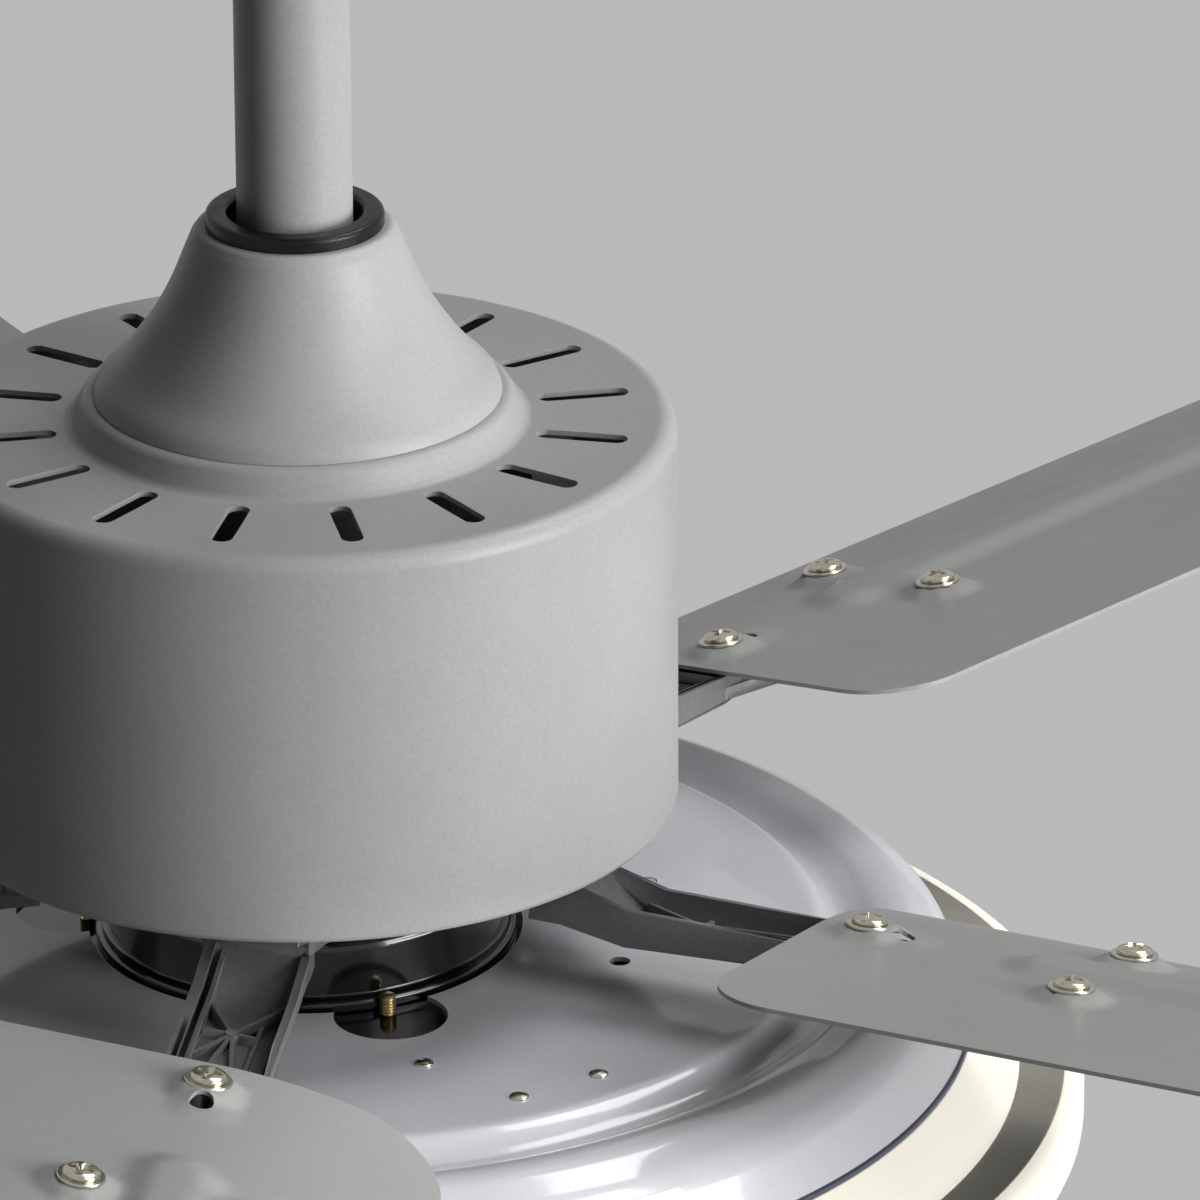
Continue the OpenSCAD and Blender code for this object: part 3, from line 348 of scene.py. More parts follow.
def handled(tree, shader, place, least, most, size):
    """Roughness that varies from least to most in patches of that size."""
    patch = add(tree, "TexNoise", {"Vector": place, "Scale": per(size), "Detail": 4})
    spread = add(tree, "MapRange", {"Value": patch.outputs["Fac"], "From Min": 0.3, "From Max": 0.7,
                                    "To Min": least, "To Max": most})
    tree.links.new(spread.outputs[0], shader.inputs["Roughness"])


def bumped(tree, shader, height_of, height):
    bump = add(tree, "Bump", {"Height": height_of.outputs["Fac"], "Strength": 1, "Distance": height * MM})
    tree.links.new(bump.outputs["Normal"], shader.inputs["Normal"])


def textured(tree, shader, place, size, height, detail=2):
    """Bumps of that size and height."""
    relief = add(tree, "TexNoise", {"Vector": place, "Scale": per(size), "Detail": detail})
    bumped(tree, shader, relief, height)


def ridged(tree, shader, place, spacing, height, waver):
    """Level ridges at that spacing. A wave texture of scale 1 has about 20 bands in a unit of length."""
    bands = add(tree, "TexWave", {"Vector": place, "Scale": per(spacing) / 20, "Distortion": waver},
                bands_direction="Z")
    bumped(tree, shader, bands, height)


def powder_coat():
    """Grey powder coat, baked: an even satin skin with a fine grain, so light falls off softly round it."""
    made, tree, shader, place = started("powder_coated_steel", IOR=1.5, Specular_IOR_Level=0.3)
    mottle(tree, shader, place, "#ABADAA", "#B5B7B4", 45, 0.9, 0.6)
    handled(tree, shader, place, 0.33, 0.42, 9)
    textured(tree, shader, place, 1.1, 0.006)
    return made


def blade_enamel():
    """Sprayed satin enamel on rolled sheet: smoother than the powder coat, with faint long waves."""
    made, tree, shader, place = started("sprayed_enamel_sheet", IOR=1.5, Specular_IOR_Level=0.3)
    mottle(tree, shader, place, "#A7A8A6", "#AFB1AE", 60, 0.8, 0.55)
    handled(tree, shader, place, 0.34, 0.44, 14)
    textured(tree, shader, place, 1.4, 0.005)
    return made


def cast_iron_paint():
    """Thin paint over sand-cast aluminium: darker, with the coarse grain of the sand showing through."""
    made, tree, shader, place = started("painted_sand_casting", IOR=1.5, Specular_IOR_Level=0.5)
    mottle(tree, shader, place, "#626466", "#707273", 18, 1.0, 0.6)
    handled(tree, shader, place, 0.34, 0.5, 3)
    textured(tree, shader, place, 0.9, 0.04, 4)
    return made


def pan_lacquer_and_painted_light():
    """Glossy lacquer on pressed steel: a pale cool grey, partly its own tone and partly lightened as
    painted light, that mirrors the lamps in its steps.
    """
    made, tree, shader, place = started("glossy_lacquer_lightened_as_painted_light", IOR=1.5, Specular_IOR_Level=0.5,
                                        Coat_Weight=0.7, Coat_Roughness=0.05)
    # Pale tones: the lacquer's own light grey, lightened further as painted light over the whole pan.
    mottle(tree, shader, place, "#E6E6EC", "#EDEDF3", 50, 1.2, 0.4)
    handled(tree, shader, place, 0.14, 0.2, 12)
    textured(tree, shader, place, 2.2, 0.004)
    return made


def base_lacquer_and_gap_shade():
    """Blue-grey lacquer on the lamp's base, dark: only its edge shows, as the dark line between pan and
    diffuser, and that dark tone is partly painted shade of the gap there.
    """
    made, tree, shader, place = started("blue_grey_lacquer_and_gap_shade", IOR=1.5)
    # Dark tones: partly the base's own blue-grey lacquer, partly painted shade of the gap between pan and
    # diffuser.
    mottle(tree, shader, place, "#5A5F70", "#646A7B", 30, 1.0)
    handled(tree, shader, place, 0.3, 0.4, 8)
    textured(tree, shader, place, 1.2, 0.005)
    return made


def trim_paint():
    """Grey matt paint on the flat trim ring, which takes the glare off the diffuser."""
    made, tree, shader, place = started("matt_trim_paint", IOR=1.5, Specular_IOR_Level=0.3)
    mottle(tree, shader, place, "#A6A39A", "#B0ADA5", 25, 0.8)
    handled(tree, shader, place, 0.5, 0.62, 6)
    textured(tree, shader, place, 0.9, 0.008)
    return made


def black_gloss():
    """Black stove enamel: near black, with sharp reflections that show the press marks."""
    made, tree, shader, place = started("black_stove_enamel", IOR=1.5, Specular_IOR_Level=0.5,
                                        Coat_Weight=0.6, Coat_Roughness=0.06)
    mottle(tree, shader, place, "#070708", "#0D0D0E", 20, 1.0)
    handled(tree, shader, place, 0.12, 0.22, 7)
    textured(tree, shader, place, 6, 0.02, 1)
    return made


def black_rubber():
    """Moulded rubber: black, with the sheen of a polished mould and a fine grain."""
    made, tree, shader, place = started("moulded_rubber", IOR=1.5, Specular_IOR_Level=0.3)
    mottle(tree, shader, place, "#08080A", "#131315", 6, 0.5)
    handled(tree, shader, place, 0.26, 0.42, 3)
    textured(tree, shader, place, 0.5, 0.02)
    return made


def zinc_plate():
    """Zinc plate on steel: a pale bluish metal with cloudy dull patches."""
    made, tree, shader, place = started("zinc_plated_steel", Metallic=1)
    mottle(tree, shader, place, "#B4B5B4", "#CFD0CE", 4, 0.7)
    handled(tree, shader, place, 0.28, 0.45, 2.5)
    textured(tree, shader, place, 0.7, 0.004)
    return made


def nickel_plate():
    """Nickel plate on small screws and washers: a warm bright metal with sharp glints."""
    made, tree, shader, place = started("nickel_plated_steel", Metallic=1)
    mottle(tree, shader, place, "#C2BDAE", "#E0DBCD", 3, 0.5)
    handled(tree, shader, place, 0.12, 0.22, 1.5)
    textured(tree, shader, place, 0.8, 0.003)
    return made


def machined_brass():
    """Machined brass: yellow metal, a little tarnished between its threads."""
    made, tree, shader, place = started("machined_brass", Metallic=1)
    mottle(tree, shader, place, "#B3A070", "#DACB9F", 3, 0.6)
    handled(tree, shader, place, 0.22, 0.38, 1.5)
    textured(tree, shader, place, 0.6, 0.004)
    return made


def moulded_nylon():
    """Moulded nylon with glass fibre: dark grey and matt, with a faint swirl."""
    made, tree, shader, place = started("moulded_nylon", IOR=1.53, Specular_IOR_Level=0.4)
    mottle(tree, shader, place, "#3A3A3A", "#474747", 12, 0.8)
    handled(tree, shader, place, 0.45, 0.6, 5)
    textured(tree, shader, place, 0.8, 0.01)
    return made


def die_casting():
    """Die-cast aluminium: a dull silver skin with flow marks and fine pits."""
    made, tree, shader, place = started("die_cast_aluminium", Metallic=1)
    mottle(tree, shader, place, "#A3A4A4", "#BDBEBD", 14, 1.2)
    handled(tree, shader, place, 0.38, 0.55, 5)
    textured(tree, shader, place, 1.0, 0.015, 4)
    return made


def ground_steel():
    """Ground bearing steel: bright, with a light oil film."""
    made, tree, shader, place = started("ground_bearing_steel", Metallic=1)
    mottle(tree, shader, place, "#C3C4C5", "#D5D6D6", 5, 0.4)
    handled(tree, shader, place, 0.12, 0.22, 3)
    textured(tree, shader, place, 0.4, 0.002)
    return made


def laminations():
    """A stack of varnished 0.5 mm laminations: dark steel whose edges show as fine rings."""
    made, tree, shader, place = started("varnished_laminations", Metallic=0.7)
    mottle(tree, shader, place, "#55524E", "#74726E", 6, 0.8)
    handled(tree, shader, place, 0.35, 0.5, 4)
    ridged(tree, shader, place, 0.5, 0.1, 0.3)
    return made


def wound_copper():
    """Enamelled copper wire, 0.6 mm: amber-brown, with the turns of the coil as fine ridges."""
    made, tree, shader, place = started("enamelled_copper_wire", Metallic=0.9, Coat_Weight=0.6)
    mottle(tree, shader, place, "#8F4A1E", "#B9692F", 5, 0.6)
    handled(tree, shader, place, 0.25, 0.36, 3)
    ridged(tree, shader, place, 0.6, 0.15, 0.6)
    return made


def white_plastic():
    """Moulded ABS and white solder mask: a plain warm white with a slight satin sheen."""
    made, tree, shader, place = started("white_moulded_plastic", IOR=1.5)
    mottle(tree, shader, place, "#E4E3DE", "#EDECE8", 20, 0.8)
    handled(tree, shader, place, 0.35, 0.48, 6)
    textured(tree, shader, place, 0.9, 0.006)
    return made


def led_phosphor():
    """Silicone over phosphor on the chips: yellow and glossy."""
    made, tree, shader, place = started("led_phosphor", IOR=1.41)
    mottle(tree, shader, place, "#EBD055", "#F4E07F", 2, 0.3)
    handled(tree, shader, place, 0.18, 0.3, 1)
    textured(tree, shader, place, 0.5, 0.004)
    return made


def opal_acrylic(name, dark, light, glow):
    """Opal acrylic with a painted glow, an emission that stands in for the LEDs' light behind it: a creamy
    white that hardly shades, with a polished skin.
    """
    made, tree, shader, place = started(name, IOR=1.49, Coat_Weight=0.3, Coat_Roughness=0.08,
                                        Emission_Color=linear("#FFFAEA"), Emission_Strength=glow)
    mottle(tree, shader, place, dark, light, 70, 3)
    handled(tree, shader, place, 0.22, 0.32, 15)
    textured(tree, shader, place, 5, 0.004)
    return made


# Painted light: both diffusers glow by emission. The sloping diffuser's copy glows less and is a little
# darker, which is painted shade on the slope.
painted_glow_acrylic = opal_acrylic("opal_acrylic_painted_glow", "#F1F0E4", "#F9F9EF", 0.56)
painted_dim_glow_acrylic = opal_acrylic("opal_acrylic_painted_dim_glow", "#ECEADD", "#F4F2E8", 0.45)
finish = {
    "grey_paint": powder_coat(), "blade_paint": blade_enamel(), "iron_paint": cast_iron_paint(),
    "pan_paint": pan_lacquer_and_painted_light(), "base_paint": base_lacquer_and_gap_shade(), "trim_paint": trim_paint(),
    "black_gloss": black_gloss(), "black_rubber": black_rubber(), "zinc_steel": zinc_plate(),
    "nickel": nickel_plate(), "brass": machined_brass(), "ball_nylon": moulded_nylon(),
    "cast_aluminium": die_casting(), "bearing_steel": ground_steel(), "lamination_steel": laminations(),
    "copper_wire": wound_copper(), "white_plastic": white_plastic(), "led_yellow": led_phosphor(),
    "acrylic": painted_glow_acrylic,
}


def dressed(piece, node, material=None):
    """Gives piece its material and its body, and hides the CAD node that it stands for."""
    piece.data.materials.clear()
    piece.data.materials.append(material or finish[slot_of[node]])
    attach(piece, body_of[node])
    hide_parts(node)
    return piece


# Drum and cone

def vent_plug(angle):
    """A slot-shaped plug through the drum's top."""
    length, width, middle_r = 21, 5.1, 65.7
    bpy.ops.object.select_all(action="DESELECT")
    bpy.ops.mesh.primitive_cylinder_add(vertices=32, radius=width / 2 * MM, depth=8 * MM)
    plug = named("plug")
    edit(plug)
    for side in (1, -1):
        pick(plug, lambda p: p.x * side > 0.01)
        move(x=side * (length - width) / 2)
    done()
    return placed(plug, about(angle) @ shifted(middle_r, 0, PLATE - WALL / 2))


def motor_drum():
    """Deep-drawn drum: soft shoulder, raised seat for the cone, slots, and a lip rolled in below."""
    side, seat, low = radius_of("motor_housing"), upper("motor_housing"), lower("motor_housing")
    hole_r, seat_r, slope_r, lip = 10, 48.4, 51.8, 2.5
    vents, first_vent = 16, 9
    screws, screw_pcr, screw_hole_r = 4, 24, 2.55
    lean = 0.7    # how far the wall's inner corners stand in from the seat's slope
    outline = rounded(
        [(hole_r, seat), (seat_r, seat), (slope_r, PLATE), (side, PLATE), (side, low), (side - lip, low),
         (side - lip, low + WALL), (side - WALL, low + WALL), (side - WALL, PLATE - WALL),
         (slope_r - lean, PLATE - WALL), (seat_r - lean, seat - WALL), (hole_r, seat - WALL)],
        [0, 3, 2.4, 4.4, 1.8, 0.4, 0.4, 0.7, 3.2, 3.6, 1.8, 0], 8)
    drum = turned("motor_drum", outline, 160)
    for k in range(vents):
        cut(drum, vent_plug(first_vent + 360 / vents * k))
    for place in ring_of(screws, screw_pcr, 0):
        cut(drum, disc(screw_hole_r, seat - 0.4, 8, place, 24))
    soften(drum, 0.38, 50, 3)
    return dressed(drum, "motor_housing")


def cone():
    """Spun bell that covers the yoke, with an edge rolled in round the rubber ring."""
    low, top, wide = lower("yoke_cover"), upper("yoke_cover"), radius_of("yoke_cover")
    neck_r, edge, hole_r = 23, 2, 17.8
    shares = [(0, 1), (0.09, 0.93), (0.21, 0.735), (0.345, 0.56), (0.52, 0.37), (0.70, 0.22),
              (0.88, 0.10), (1, 0.02)]
    flank = [(neck_r + (wide - neck_r) * out, low + (top - edge - low) * up) for up, out in shares]
    inside = [(r - WALL, z) for r, z in flank[:-1]]
    angles = [math.radians(15 * k) for k in range(1, 7)]
    roll = [(neck_r - edge + edge * math.cos(a), top - edge + edge * math.sin(a)) for a in angles]
    rim = [(hole_r, top), (hole_r, top - WALL), (neck_r - edge - 0.5, top - WALL),
           (neck_r - WALL, top - 2 * WALL)]
    bell = turned("yoke_bell", flowing(flank) + roll + rim + flowing(inside)[::-1], 128)
    soften(bell, 0.3, 50)
    return dressed(bell, "yoke_cover")


# Cup and lamp

def cup():
    """Pressed switch cup: shoulder, straight wall and a rolled flange."""
    top, low, flange_r = upper("switch_cup"), lower("switch_cup"), radius_of("switch_cup")
    hole_r, flat_r, side, shoulder_h, flange_h = 8.55, 36, 46.3, 7.5, 3.2
    outline = rounded(
        [(hole_r, top), (flat_r, top), (side, top - shoulder_h), (side, low + flange_h),
         (flange_r, low + flange_h), (flange_r, low), (side - WALL, low),
         (side - WALL, top - shoulder_h - WALL / 2), (flat_r - WALL / 2, top - WALL), (hole_r, top - WALL)],
        [0, 3, 3, 0.8, 1.5, 0.6, 0, 1.8, 1.8, 0], 6)
    piece = turned("switch_cup_pressing", outline, 128)
    soften(piece, 0.25, 50)
    return dressed(piece, "switch_cup")


def pan():
    """Pressed pan: flat, a step down to a groove, a raised ring, and a deep rim."""
    top = upper("light_pan")
    blank_r, hole_r, lobe_r, lobe_pcr = 40, 50, 13, 55
    drops = [(113, 0), (117.2, -0.1), (119.6, -1.2), (122.4, -3.6), (124.5, -4.6), (127.2, -4.2),
             (131, -2.2), (134, -1.5), (137, -1.4), (140.4, -1.9), (144, -3.7), (147.2, -5.9),
             (149.6, -9.2), (151, -13.4), (153.4, -20.5)]
    outer = flowing(drops)
    under = []
    for k, (r, z) in enumerate(outer):
        before, after = outer[max(k - 1, 0)], outer[min(k + 1, len(outer) - 1)]
        along = Vector((after[0] - before[0], after[1] - before[1])).normalized()
        under.append((r + WALL * along.y, z - WALL * along.x))
    line = [(r, top + z) for r, z in outer + under[::-1]]
    piece = turned("pressed_pan", [(blank_r, top)] + line + [(blank_r, top - WALL)], 192)
    cut(piece, disc(hole_r, top - 1, 8, sides=128))
    for place in ring_of(3, lobe_pcr, -70):
        cut(piece, disc(lobe_r, top - 1, 8, place))
    for place in ring_of(1, 75.7, -18.8):
        cut(piece, disc(2.4, top - 1, 8, place, 32))
    soften(piece, 0.3, 50)
    return dressed(piece, "light_pan")


STUDS = ring_of(3, 51, -69)    # brass screws round the cup's flange


def threaded_studs():
    """Brass screws whose threads stand up through the flange of the cup."""
    low, top = lower("cup_screws"), upper("cup_screws")
    core_r, crest_r, thread = 1.5, 1.9, 0.7
    line = [(0, low), (core_r, low)]
    for k in range(9):
        line += [(core_r, low + 0.1 + thread * k), (crest_r, low + 0.45 + thread * k)]
    line += [(core_r, top - 0.3), (core_r - 0.4, top), (0, top)]
    stud = turned("stud", line, 32, closed=False)
    smooth(stud, 50)
    studs = [copied(stud, "stud_copy", shifted(x, y)) for x, y in STUDS]
    bpy.data.objects.remove(stud)
    return dressed(joined(studs, "threaded_studs"), "cup_screws")


def flat_ring(name, node, hole_r, radii, steps):
    """A flat turned ring between the CAD node's own heights and out to its own edge."""
    low, top, edge_r = lower(node), upper(node), radius_of(node)
    outline = [(hole_r, low), (edge_r, low), (edge_r, top), (hole_r, top)]
    return turned(name, rounded(outline, radii, 3), steps)


def lamp_rings():
    """Turned plates and rings of the lamp, from the black plate down to the ring with the painted glow."""
    black = flat_ring("black_plate", "lamp_plate", 18, [0.3, 0.3, 0.3, 0.3], 128)
    for place in STUDS:
        cut(black, disc(1.95, lower("lamp_plate") + 1.2, 8, place, 24))
    smooth(black)
    dressed(black, "lamp_plate")

    base = flat_ring("base_disc", "lamp_base", 16, [0.3, 0.4, 0.4, 0.3], 192)
    smooth(base)
    dressed(base, "lamp_base")

    slope_t, ring_t = 2, 2
    rim_r, rim = radius_of("lamp_base"), upper("upper_diffuser")
    trim_in_r, trim_r = 163.3, radius_of("trim_ring")
    trim_low, trim = lower("trim_ring"), upper("trim_ring")
    slope = turned("sloping_diffuser",
                   rounded([(rim_r - slope_t, rim), (rim_r, rim), (radius_of("upper_diffuser"), trim),
                            (trim_in_r, trim)], [0.3, 0.5, 0.3, 0.3], 3), 192)
    smooth(slope)
    dressed(slope, "upper_diffuser", painted_dim_glow_acrylic)

    flat = flat_ring("flat_trim", "trim_ring", trim_in_r, [0.2, 0.3, 0.4, 0.4], 192)
    smooth(flat)
    dressed(flat, "trim_ring")

    low, side, fit = lower("lower_diffuser"), radius_of("lower_diffuser"), 0.05
    ring = turned("ring_diffuser", rounded(
        [(0, low), (side, low), (side, trim), (trim_r + fit, trim), (trim_r + fit, trim_low),
         (trim_in_r, trim_low), (trim_in_r, trim_low - ring_t), (side - ring_t, trim_low - ring_t),
         (side - ring_t, low + ring_t), (0, low + ring_t)],
        [0, 6, 4, 0.3, 0.2, 0.3, 0.3, 0.6, 4, 0], 6), 192)
    smooth(ring)
    dressed(ring, "lower_diffuser")


# Blades, irons and their screws

def blade_frame(k):
    """A blade's own frame: x along it, y across it towards the trailing side, z off its face."""
    return about(FIRST_BLADE + 360 / BLADES * k) @ shifted(z=BLADE_Z) @ about(-PITCH, "X")


def face(v):
    """Height of the sheet's top at v across the blade, which bends down on its trailing side."""
    return math.sqrt(CAMBER_R ** 2 - v ** 2) - CAMBER_R if v > 0 else 0


def blade_sheet():
    """Rolled sheet, drawn across its width and along its length, with pressed dimples and bead."""
    root, tip, lead, trail_root, trail_tip = 129, 533, -69, 56, 42
    grid, rows, steps = 1.5, 86, 272    # the outline is cut from a sheet of this grid, a little larger
    across = [lead - grid + grid * i for i in range(rows)]
    sheet = drawn("blade", [(v, face(v)) for v in across])
    bpy.ops.mesh.select_all(action="SELECT")
    # With no window the operator turns the other way, so this turns the line from X to Y.
    bpy.ops.transform.rotate(value=-math.pi / 2, orient_axis="Z", center_override=(0, 0, 0))
    move(x=root - grid)
    for _ in range(steps):
        bpy.ops.mesh.extrude_region_move(TRANSFORM_OT_translate={"value": (grid * MM, 0, 0)})

    bead_start, bead_end, bead_v, bead_half, bead_slope = 187, 506, 0.5, 4.6, 8.5
    pick(sheet, lambda p: math.hypot(p.x - min(max(p.x, bead_start), bead_end), p.y - bead_v) < bead_half)
    move(z=RAISED, reach=bead_slope)
    for u, v in BOLTS:
        pick(sheet, lambda p: math.hypot(p.x - u, p.y - v) < 5.8)
        bpy.ops.transform.resize(value=(1, 1, 0), center_override=(0, 0, face(v) * MM))
        move(z=RAISED, reach=5)
    # Beside the root's screw the dimple has a low foot, with a hole in it.
    foot_start, foot_end, foot_half, foot_h, foot_hole = 146, 153, 3, 0.7, (150.4, 0)
    pick(sheet, lambda p: foot_start < p.x < foot_end and abs(p.y) < foot_half)
    move(z=foot_h, reach=7)
    bpy.ops.mesh.select_all(action="SELECT")
    bpy.ops.mesh.normals_make_consistent(inside=False)
    form = bmesh.from_edit_mesh(sheet.data)
    form.faces.ensure_lookup_table()
    if form.faces[0].normal.z < 0:
        bpy.ops.mesh.flip_normals()
    done()
    apply(sheet, "SOLIDIFY", thickness=BLADE_T * MM, offset=-1)

    outline = [(root, lead), (tip, lead), (tip, trail_tip), (root, trail_root)]
    cut(sheet, plate("blank", rounded(outline, [19, 44, 26, 24], 14), -40, 40), "INTERSECT")
    for place in BOLTS:
        cut(sheet, disc(BOLT_HOLE_R, 0, 20, place, 32))
    cut(sheet, disc(2.7, 0, 20, foot_hole, 32))
    soften(sheet, 0.22, 50)
    return sheet


def blades():
    sheet = blade_sheet()
    for k in range(BLADES):
        dressed(copied(sheet, "pressed_blade_%d" % (k + 1), blade_frame(k)), "blade_%d" % (k + 1))
    bpy.data.objects.remove(sheet)


def cast_iron():
    """Cast arm: a pad below the case, an open trough with a star of ribs, and an end with three bosses."""
    iron = slab("iron", [(63.2, 1.95), (71.2, 1.95), (87.2, -1.8), (142, -1.8), (142, -4.8), (129, -8.2),
                         (87.2, -10.3), (71.2, -7.8), (63.2, -7.8)], -11.8, 11.8)
    trough = [(67, 9), (68.5, 2.6), (71, 1.4), (74, -0.8), (77.5, -4), (81, -6.4), (85, -7.9), (88, -8.3),
              (129, -6.2), (129, 9)]
    cut(iron, slab("hollow", trough, -9.4, 10))
    cut(iron, slab("groove", [(82, 0), (82, -7.6), (88, -9.5), (127, -7.4), (127, 0)], 5.8, 9.9))

    # The pad and the step under it lie level, so they are turned back by the pitch.
    level = about(PITCH, "X")
    pad = plate("pad", rounded([(47.2, -20), (71.2, -11.8), (71.2, 11.8), (47.2, 20)], [5, 5, 5, 5]), 0, 4)
    cut(iron, placed(pad, level), "UNION")
    step = slab("step", [(63, 3.98), (69.5, 3.98), (71.1, 2.4), (71.1, -6), (63, -6)], -11.75, 11.75)
    cut(iron, placed(step, level), "UNION")
    rib = [(70, 1), (72, 0.6), (87.2, -2.7), (128, -2.7), (128, -7.5), (87.2, -9.2), (76, -5)]
    cut(iron, slab("rib", rib, -7.8, -6.8), "UNION")
    cut(iron, slab("rib", [(84, -7.2), (88, -7.3), (128, -5.2), (128, -7.2), (88, -9.5), (84, -8.8)],
                   5, 5.9), "UNION")

    # Star of ribs. Each spoke's top lies a hair lower than the last, so that no two tops share a plane.
    star_u, hub_r, spoke_t, spoke_top = 101.4, 1.7, 0.9, -5.3
    spokes = ((152, 20), (-152, 14.5), (90, 5.4), (-90, 7.2), (-28, 15), (-9, 27.5), (8, 27.5))
    cut(iron, disc(hub_r, -7, 3.6, (star_u, 0), 24), "UNION")
    for n, (angle, reach) in enumerate(spokes):
        low, top = (-8.9 if abs(angle) > 91 else -8.15), spoke_top - 0.03 * n
        side = [(1.1, low), (reach, low), (reach, top), (1.1, top)]
        spoke = slab("spoke", side, -spoke_t / 2, spoke_t / 2)
        cut(iron, placed(spoke, shifted(star_u) @ about(angle)), "UNION")

    end_low, end_top = -7.36, -4.36
    end = [(128, -11.7), (208, -27.6), (208, 27.6), (128, 11.7)]
    cut(iron, plate("end", rounded(end, [2.2, 9, 9, 2.2]), end_low, end_top), "UNION")
    boss_low, boss_tops = -7.3, (0.97, -0.19, 0.97)
    for place, top in zip(BOLTS, boss_tops):
        cut(iron, disc(5.6, (top + boss_low) / 2, top - boss_low, place, 40), "UNION")
        cut(iron, disc(BOLT_HOLE_R, 0, 30, place, 24))
    for v in (12, -12):
        cut(iron, placed(disc(2.55, 2, 12, (58.2, v), 24), level))
    soften(iron, 0.25)
    return iron


def irons():
    iron = cast_iron()
    for k in range(BLADES):
        dressed(copied(iron, "cast_iron_%d" % (k + 1), blade_frame(k)), "blade_iron_%d" % (k + 1))
    bpy.data.objects.remove(iron)


def pan_head_screw():
    """Pan-head screw, head on z = 0: domed head, tapered cross recess and a plain shank."""
    head_r, head_h, brim, shank_r, shank_l = 4.2, 1.9, 0.55, 2.3, 6.4
    line = [(0, -shank_l), (shank_r - 0.2, -shank_l), (shank_r, 0.3 - shank_l), (shank_r, 0),
            (head_r - 0.25, 0), (head_r, 0.2), (head_r, brim)]
    for k in range(1, 9):
        a = math.radians(11 * k)
        line.append((head_r * math.cos(a), brim + (head_h - brim) * math.sin(a)))
    screw = turned("screw", line + [(0, head_h)], 48, closed=False)
    for a in (20, 110):
        bpy.ops.object.select_all(action="DESELECT")
        bpy.ops.mesh.primitive_cube_add(size=MM)
        blank = named("plug")
        edit(blank)
        bpy.ops.mesh.select_all(action="SELECT")
        bpy.ops.transform.resize(value=(9.5, 2, 3))
        pick(blank, lambda p: p.z < 0)
        bpy.ops.transform.resize(value=(0.25, 0.5, 1))
        done()
        cut(screw, placed(blank, about(a) @ shifted(z=head_h)))
    soften(screw, 0.14, 45)
    return screw


def screws_and_washers():
    """Fifteen screws, each turned by its own angle, and the washers under them."""
    screw = pan_head_screw()
    washer_r = 5.4
    outline = [(BOLT_HOLE_R, 0), (washer_r, 0), (washer_r, WASHER_T), (BOLT_HOLE_R, WASHER_T)]
    washer = turned("washer", rounded(outline, [0, 0.2, 0.3, 0], 3), 48)
    smooth(washer)
    screws, washers = [], []
    for k in range(BLADES):
        for n, (u, v) in enumerate(BOLTS):
            seat = blade_frame(k) @ shifted(u, v, face(v) + RAISED)
            washers.append(copied(washer, "washer_copy", seat))
            turn = about(37 * (len(BOLTS) * k + n))
            screws.append(copied(screw, "screw_copy", seat @ shifted(z=WASHER_T) @ turn))
    bpy.data.objects.remove(screw)
    bpy.data.objects.remove(washer)
    dressed(joined(screws, "pan_head_screws"), "blade_screws")
    dressed(joined(washers, "flat_washers"), "blade_washers")


# Copies of CAD nodes with broken edges

def refined(node, name, width):
    """A copy of a CAD node, merged, with its edges broken and its shading evened."""
    alone(nodes[node])
    bpy.ops.object.duplicate(linked=False)
    piece = named(name)
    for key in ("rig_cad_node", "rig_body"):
        if key in piece:
            del piece[key]
    piece.parent = None
    edit(piece)
    bpy.ops.mesh.select_all(action="SELECT")
    bpy.ops.mesh.remove_doubles(threshold=0.001 * MM)
    bpy.ops.mesh.select_all(action="SELECT")
    bpy.ops.mesh.dissolve_limited(angle_limit=math.radians(0.4))
    done()
    soften(piece, width, 45)
    return dressed(piece, node)


motor_drum()
cone()
cup()
pan()
lamp_rings()
threaded_studs()
blades()
irons()
screws_and_washers()

for node, name, width in (
        ("canopy", "spun_canopy", 0.4), ("ceiling_bracket", "bent_bracket", 0.3),
        ("canopy_screws", "canopy_side_screws", 0.2), ("hanger_ball", "moulded_ball", 0.5),
        ("downrod", "painted_pipe", 0.3), ("rod_seal_ring", "rubber_ring", 0.15),
        ("pan_rivets", "domed_rivets", 0.15), ("rotor_lower_bell", "lower_case", 0.4),
        ("iron_screws", "iron_pan_screws", 0.2), ("yoke", "cast_yoke", 0.4)):
    refined(node, name, width)

for node in nodes:
    if not nodes[node].hide_render:
        nodes[node].data.materials.clear()
        nodes[node].data.materials.append(finish[slot_of[node]])


# Floor, light and camera

def seen(tree):
    """1 for the rays that show a backdrop: straight from the camera, mirrored, or through glass."""
    path = add(tree, "LightPath")
    some = add(tree, "Math", {0: path.outputs["Is Camera Ray"], 1: path.outputs["Is Glossy Ray"]},
               operation="MAXIMUM")
    return add(tree, "Math", {0: some.outputs[0], 1: path.outputs["Is Transmission Ray"]},
               operation="MAXIMUM").outputs[0]


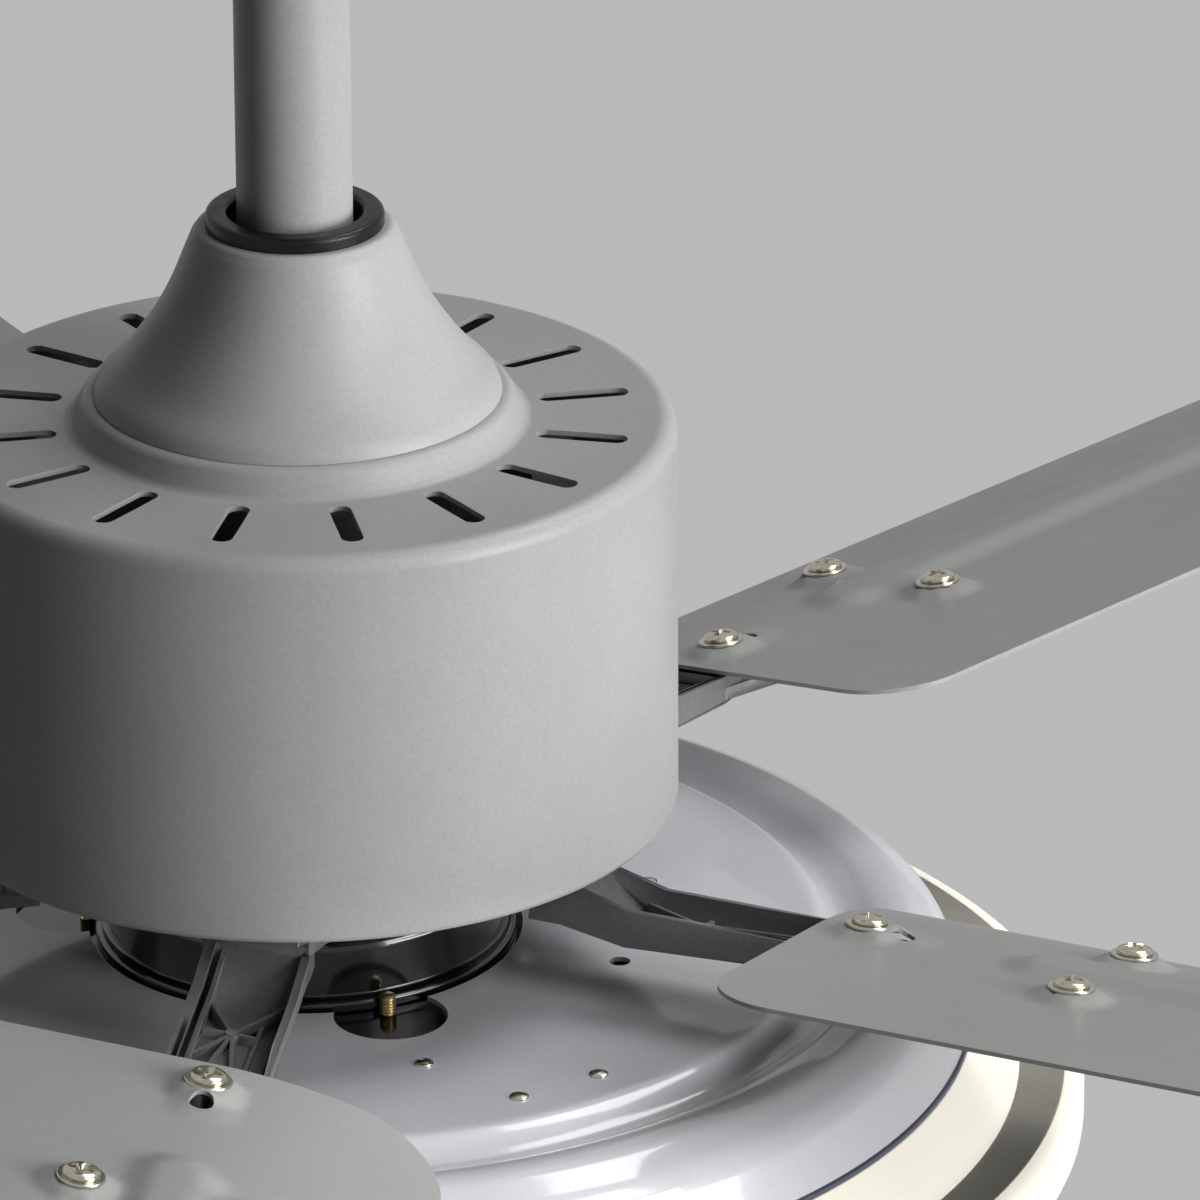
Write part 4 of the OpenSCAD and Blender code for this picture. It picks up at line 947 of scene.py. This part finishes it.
def pale_floor():
    """Painted studio floor, pale grey, that keeps a faint shadow. From below it is clear."""
    bpy.ops.object.select_all(action="DESELECT")
    bpy.ops.mesh.primitive_plane_add(size=16, location=(0, 0, -0.95))
    bpy.ops.object.transform_apply(location=True, rotation=True, scale=True)
    floor = named("floor")
    material = bpy.data.materials.new("studio_floor_paint")
    material.use_nodes = True
    tree = material.node_tree
    tree.nodes.clear()
    matt = add(tree, "BsdfDiffuse", {"Color": linear("#505050")})
    glow = add(tree, "Emission", {"Color": linear("#C0C0C0"), "Strength": 1})
    share = add(tree, "Math", {0: seen(tree), 1: 0.92}, operation="MULTIPLY")
    paint = add(tree, "MixShader", {0: share.outputs[0], 1: matt.outputs[0], 2: glow.outputs[0]})
    below = add(tree, "NewGeometry").outputs["Backfacing"]
    clear = add(tree, "BsdfTransparent")
    both = add(tree, "MixShader", {0: below, 1: paint.outputs[0], 2: clear.outputs[0]})
    add(tree, "OutputMaterial", {"Surface": both.outputs[0]})
    floor.data.materials.append(material)


def studio_world():
    """A faint white fill on the fan, behind it a pale grey wall."""
    world = bpy.data.worlds.new("studio")
    bpy.context.scene.world = world
    world.use_nodes = True
    tree = world.node_tree
    tree.nodes.clear()
    fill = add(tree, "Background", {"Color": linear("#FFFFFF"), "Strength": 0.02})
    back = add(tree, "Background", {"Color": linear("#B9B9B9"), "Strength": 1})
    both = add(tree, "MixShader", {0: seen(tree), 1: fill.outputs[0], 2: back.outputs[0]})
    add(tree, "OutputWorld", {"Surface": both.outputs[0]})


def softbox(name, round_from_front, elevation, distance, size, level):
    """A square softbox aimed at the drum. A level of 1 lights a white face that meets it as white."""
    data = bpy.data.lights.new(name, "AREA")
    data.shape = "SQUARE"
    data.size = size
    data.energy = level * math.pi ** 2 * distance ** 2
    lamp = bpy.data.objects.new(name, data)
    bpy.context.scene.collection.objects.link(lamp)
    a, e = math.radians(round_from_front), math.radians(elevation)
    away = Vector((math.sin(a) * math.cos(e), -math.cos(a) * math.cos(e), math.sin(e)))
    lamp.location = Vector((0, 0, -0.36)) + away * distance
    lamp.rotation_euler = away.to_track_quat("Z", "Y").to_euler()


def camera():
    """The camera of the photograph, found from the drum's, cone's and lamp's circles."""
    turn, tilt, roll = 0.0294713, 0.3972078, 0.00457838    # radians
    place = (0, -2.314478, 0.638462)
    forward = Vector((math.sin(turn) * math.cos(tilt), math.cos(turn) * math.cos(tilt), -math.sin(tilt)))
    level = Vector((math.cos(turn), -math.sin(turn), 0))
    down = forward.cross(level)
    right = math.cos(roll) * level + math.sin(roll) * down
    below = math.cos(roll) * down - math.sin(roll) * level
    data = bpy.data.cameras.new("photograph")
    data.sensor_width = 36
    data.lens = 330
    data.clip_end = 50
    eye = bpy.data.objects.new("photograph", data)
    bpy.context.scene.collection.objects.link(eye)
    axes = Matrix((right, -below, -forward)).transposed()
    eye.matrix_world = Matrix.Translation(place) @ axes.to_4x4()
    bpy.context.scene.camera = eye


pale_floor()
studio_world()
softbox("key", 59, 5, 3, 1.6, 0.98)
softbox("high", 50, 36, 3, 1.2, 0.24)
softbox("top", 112, 56, 2.5, 1.2, 0.34)
camera()
bpy.context.scene.view_settings.view_transform = "Standard"
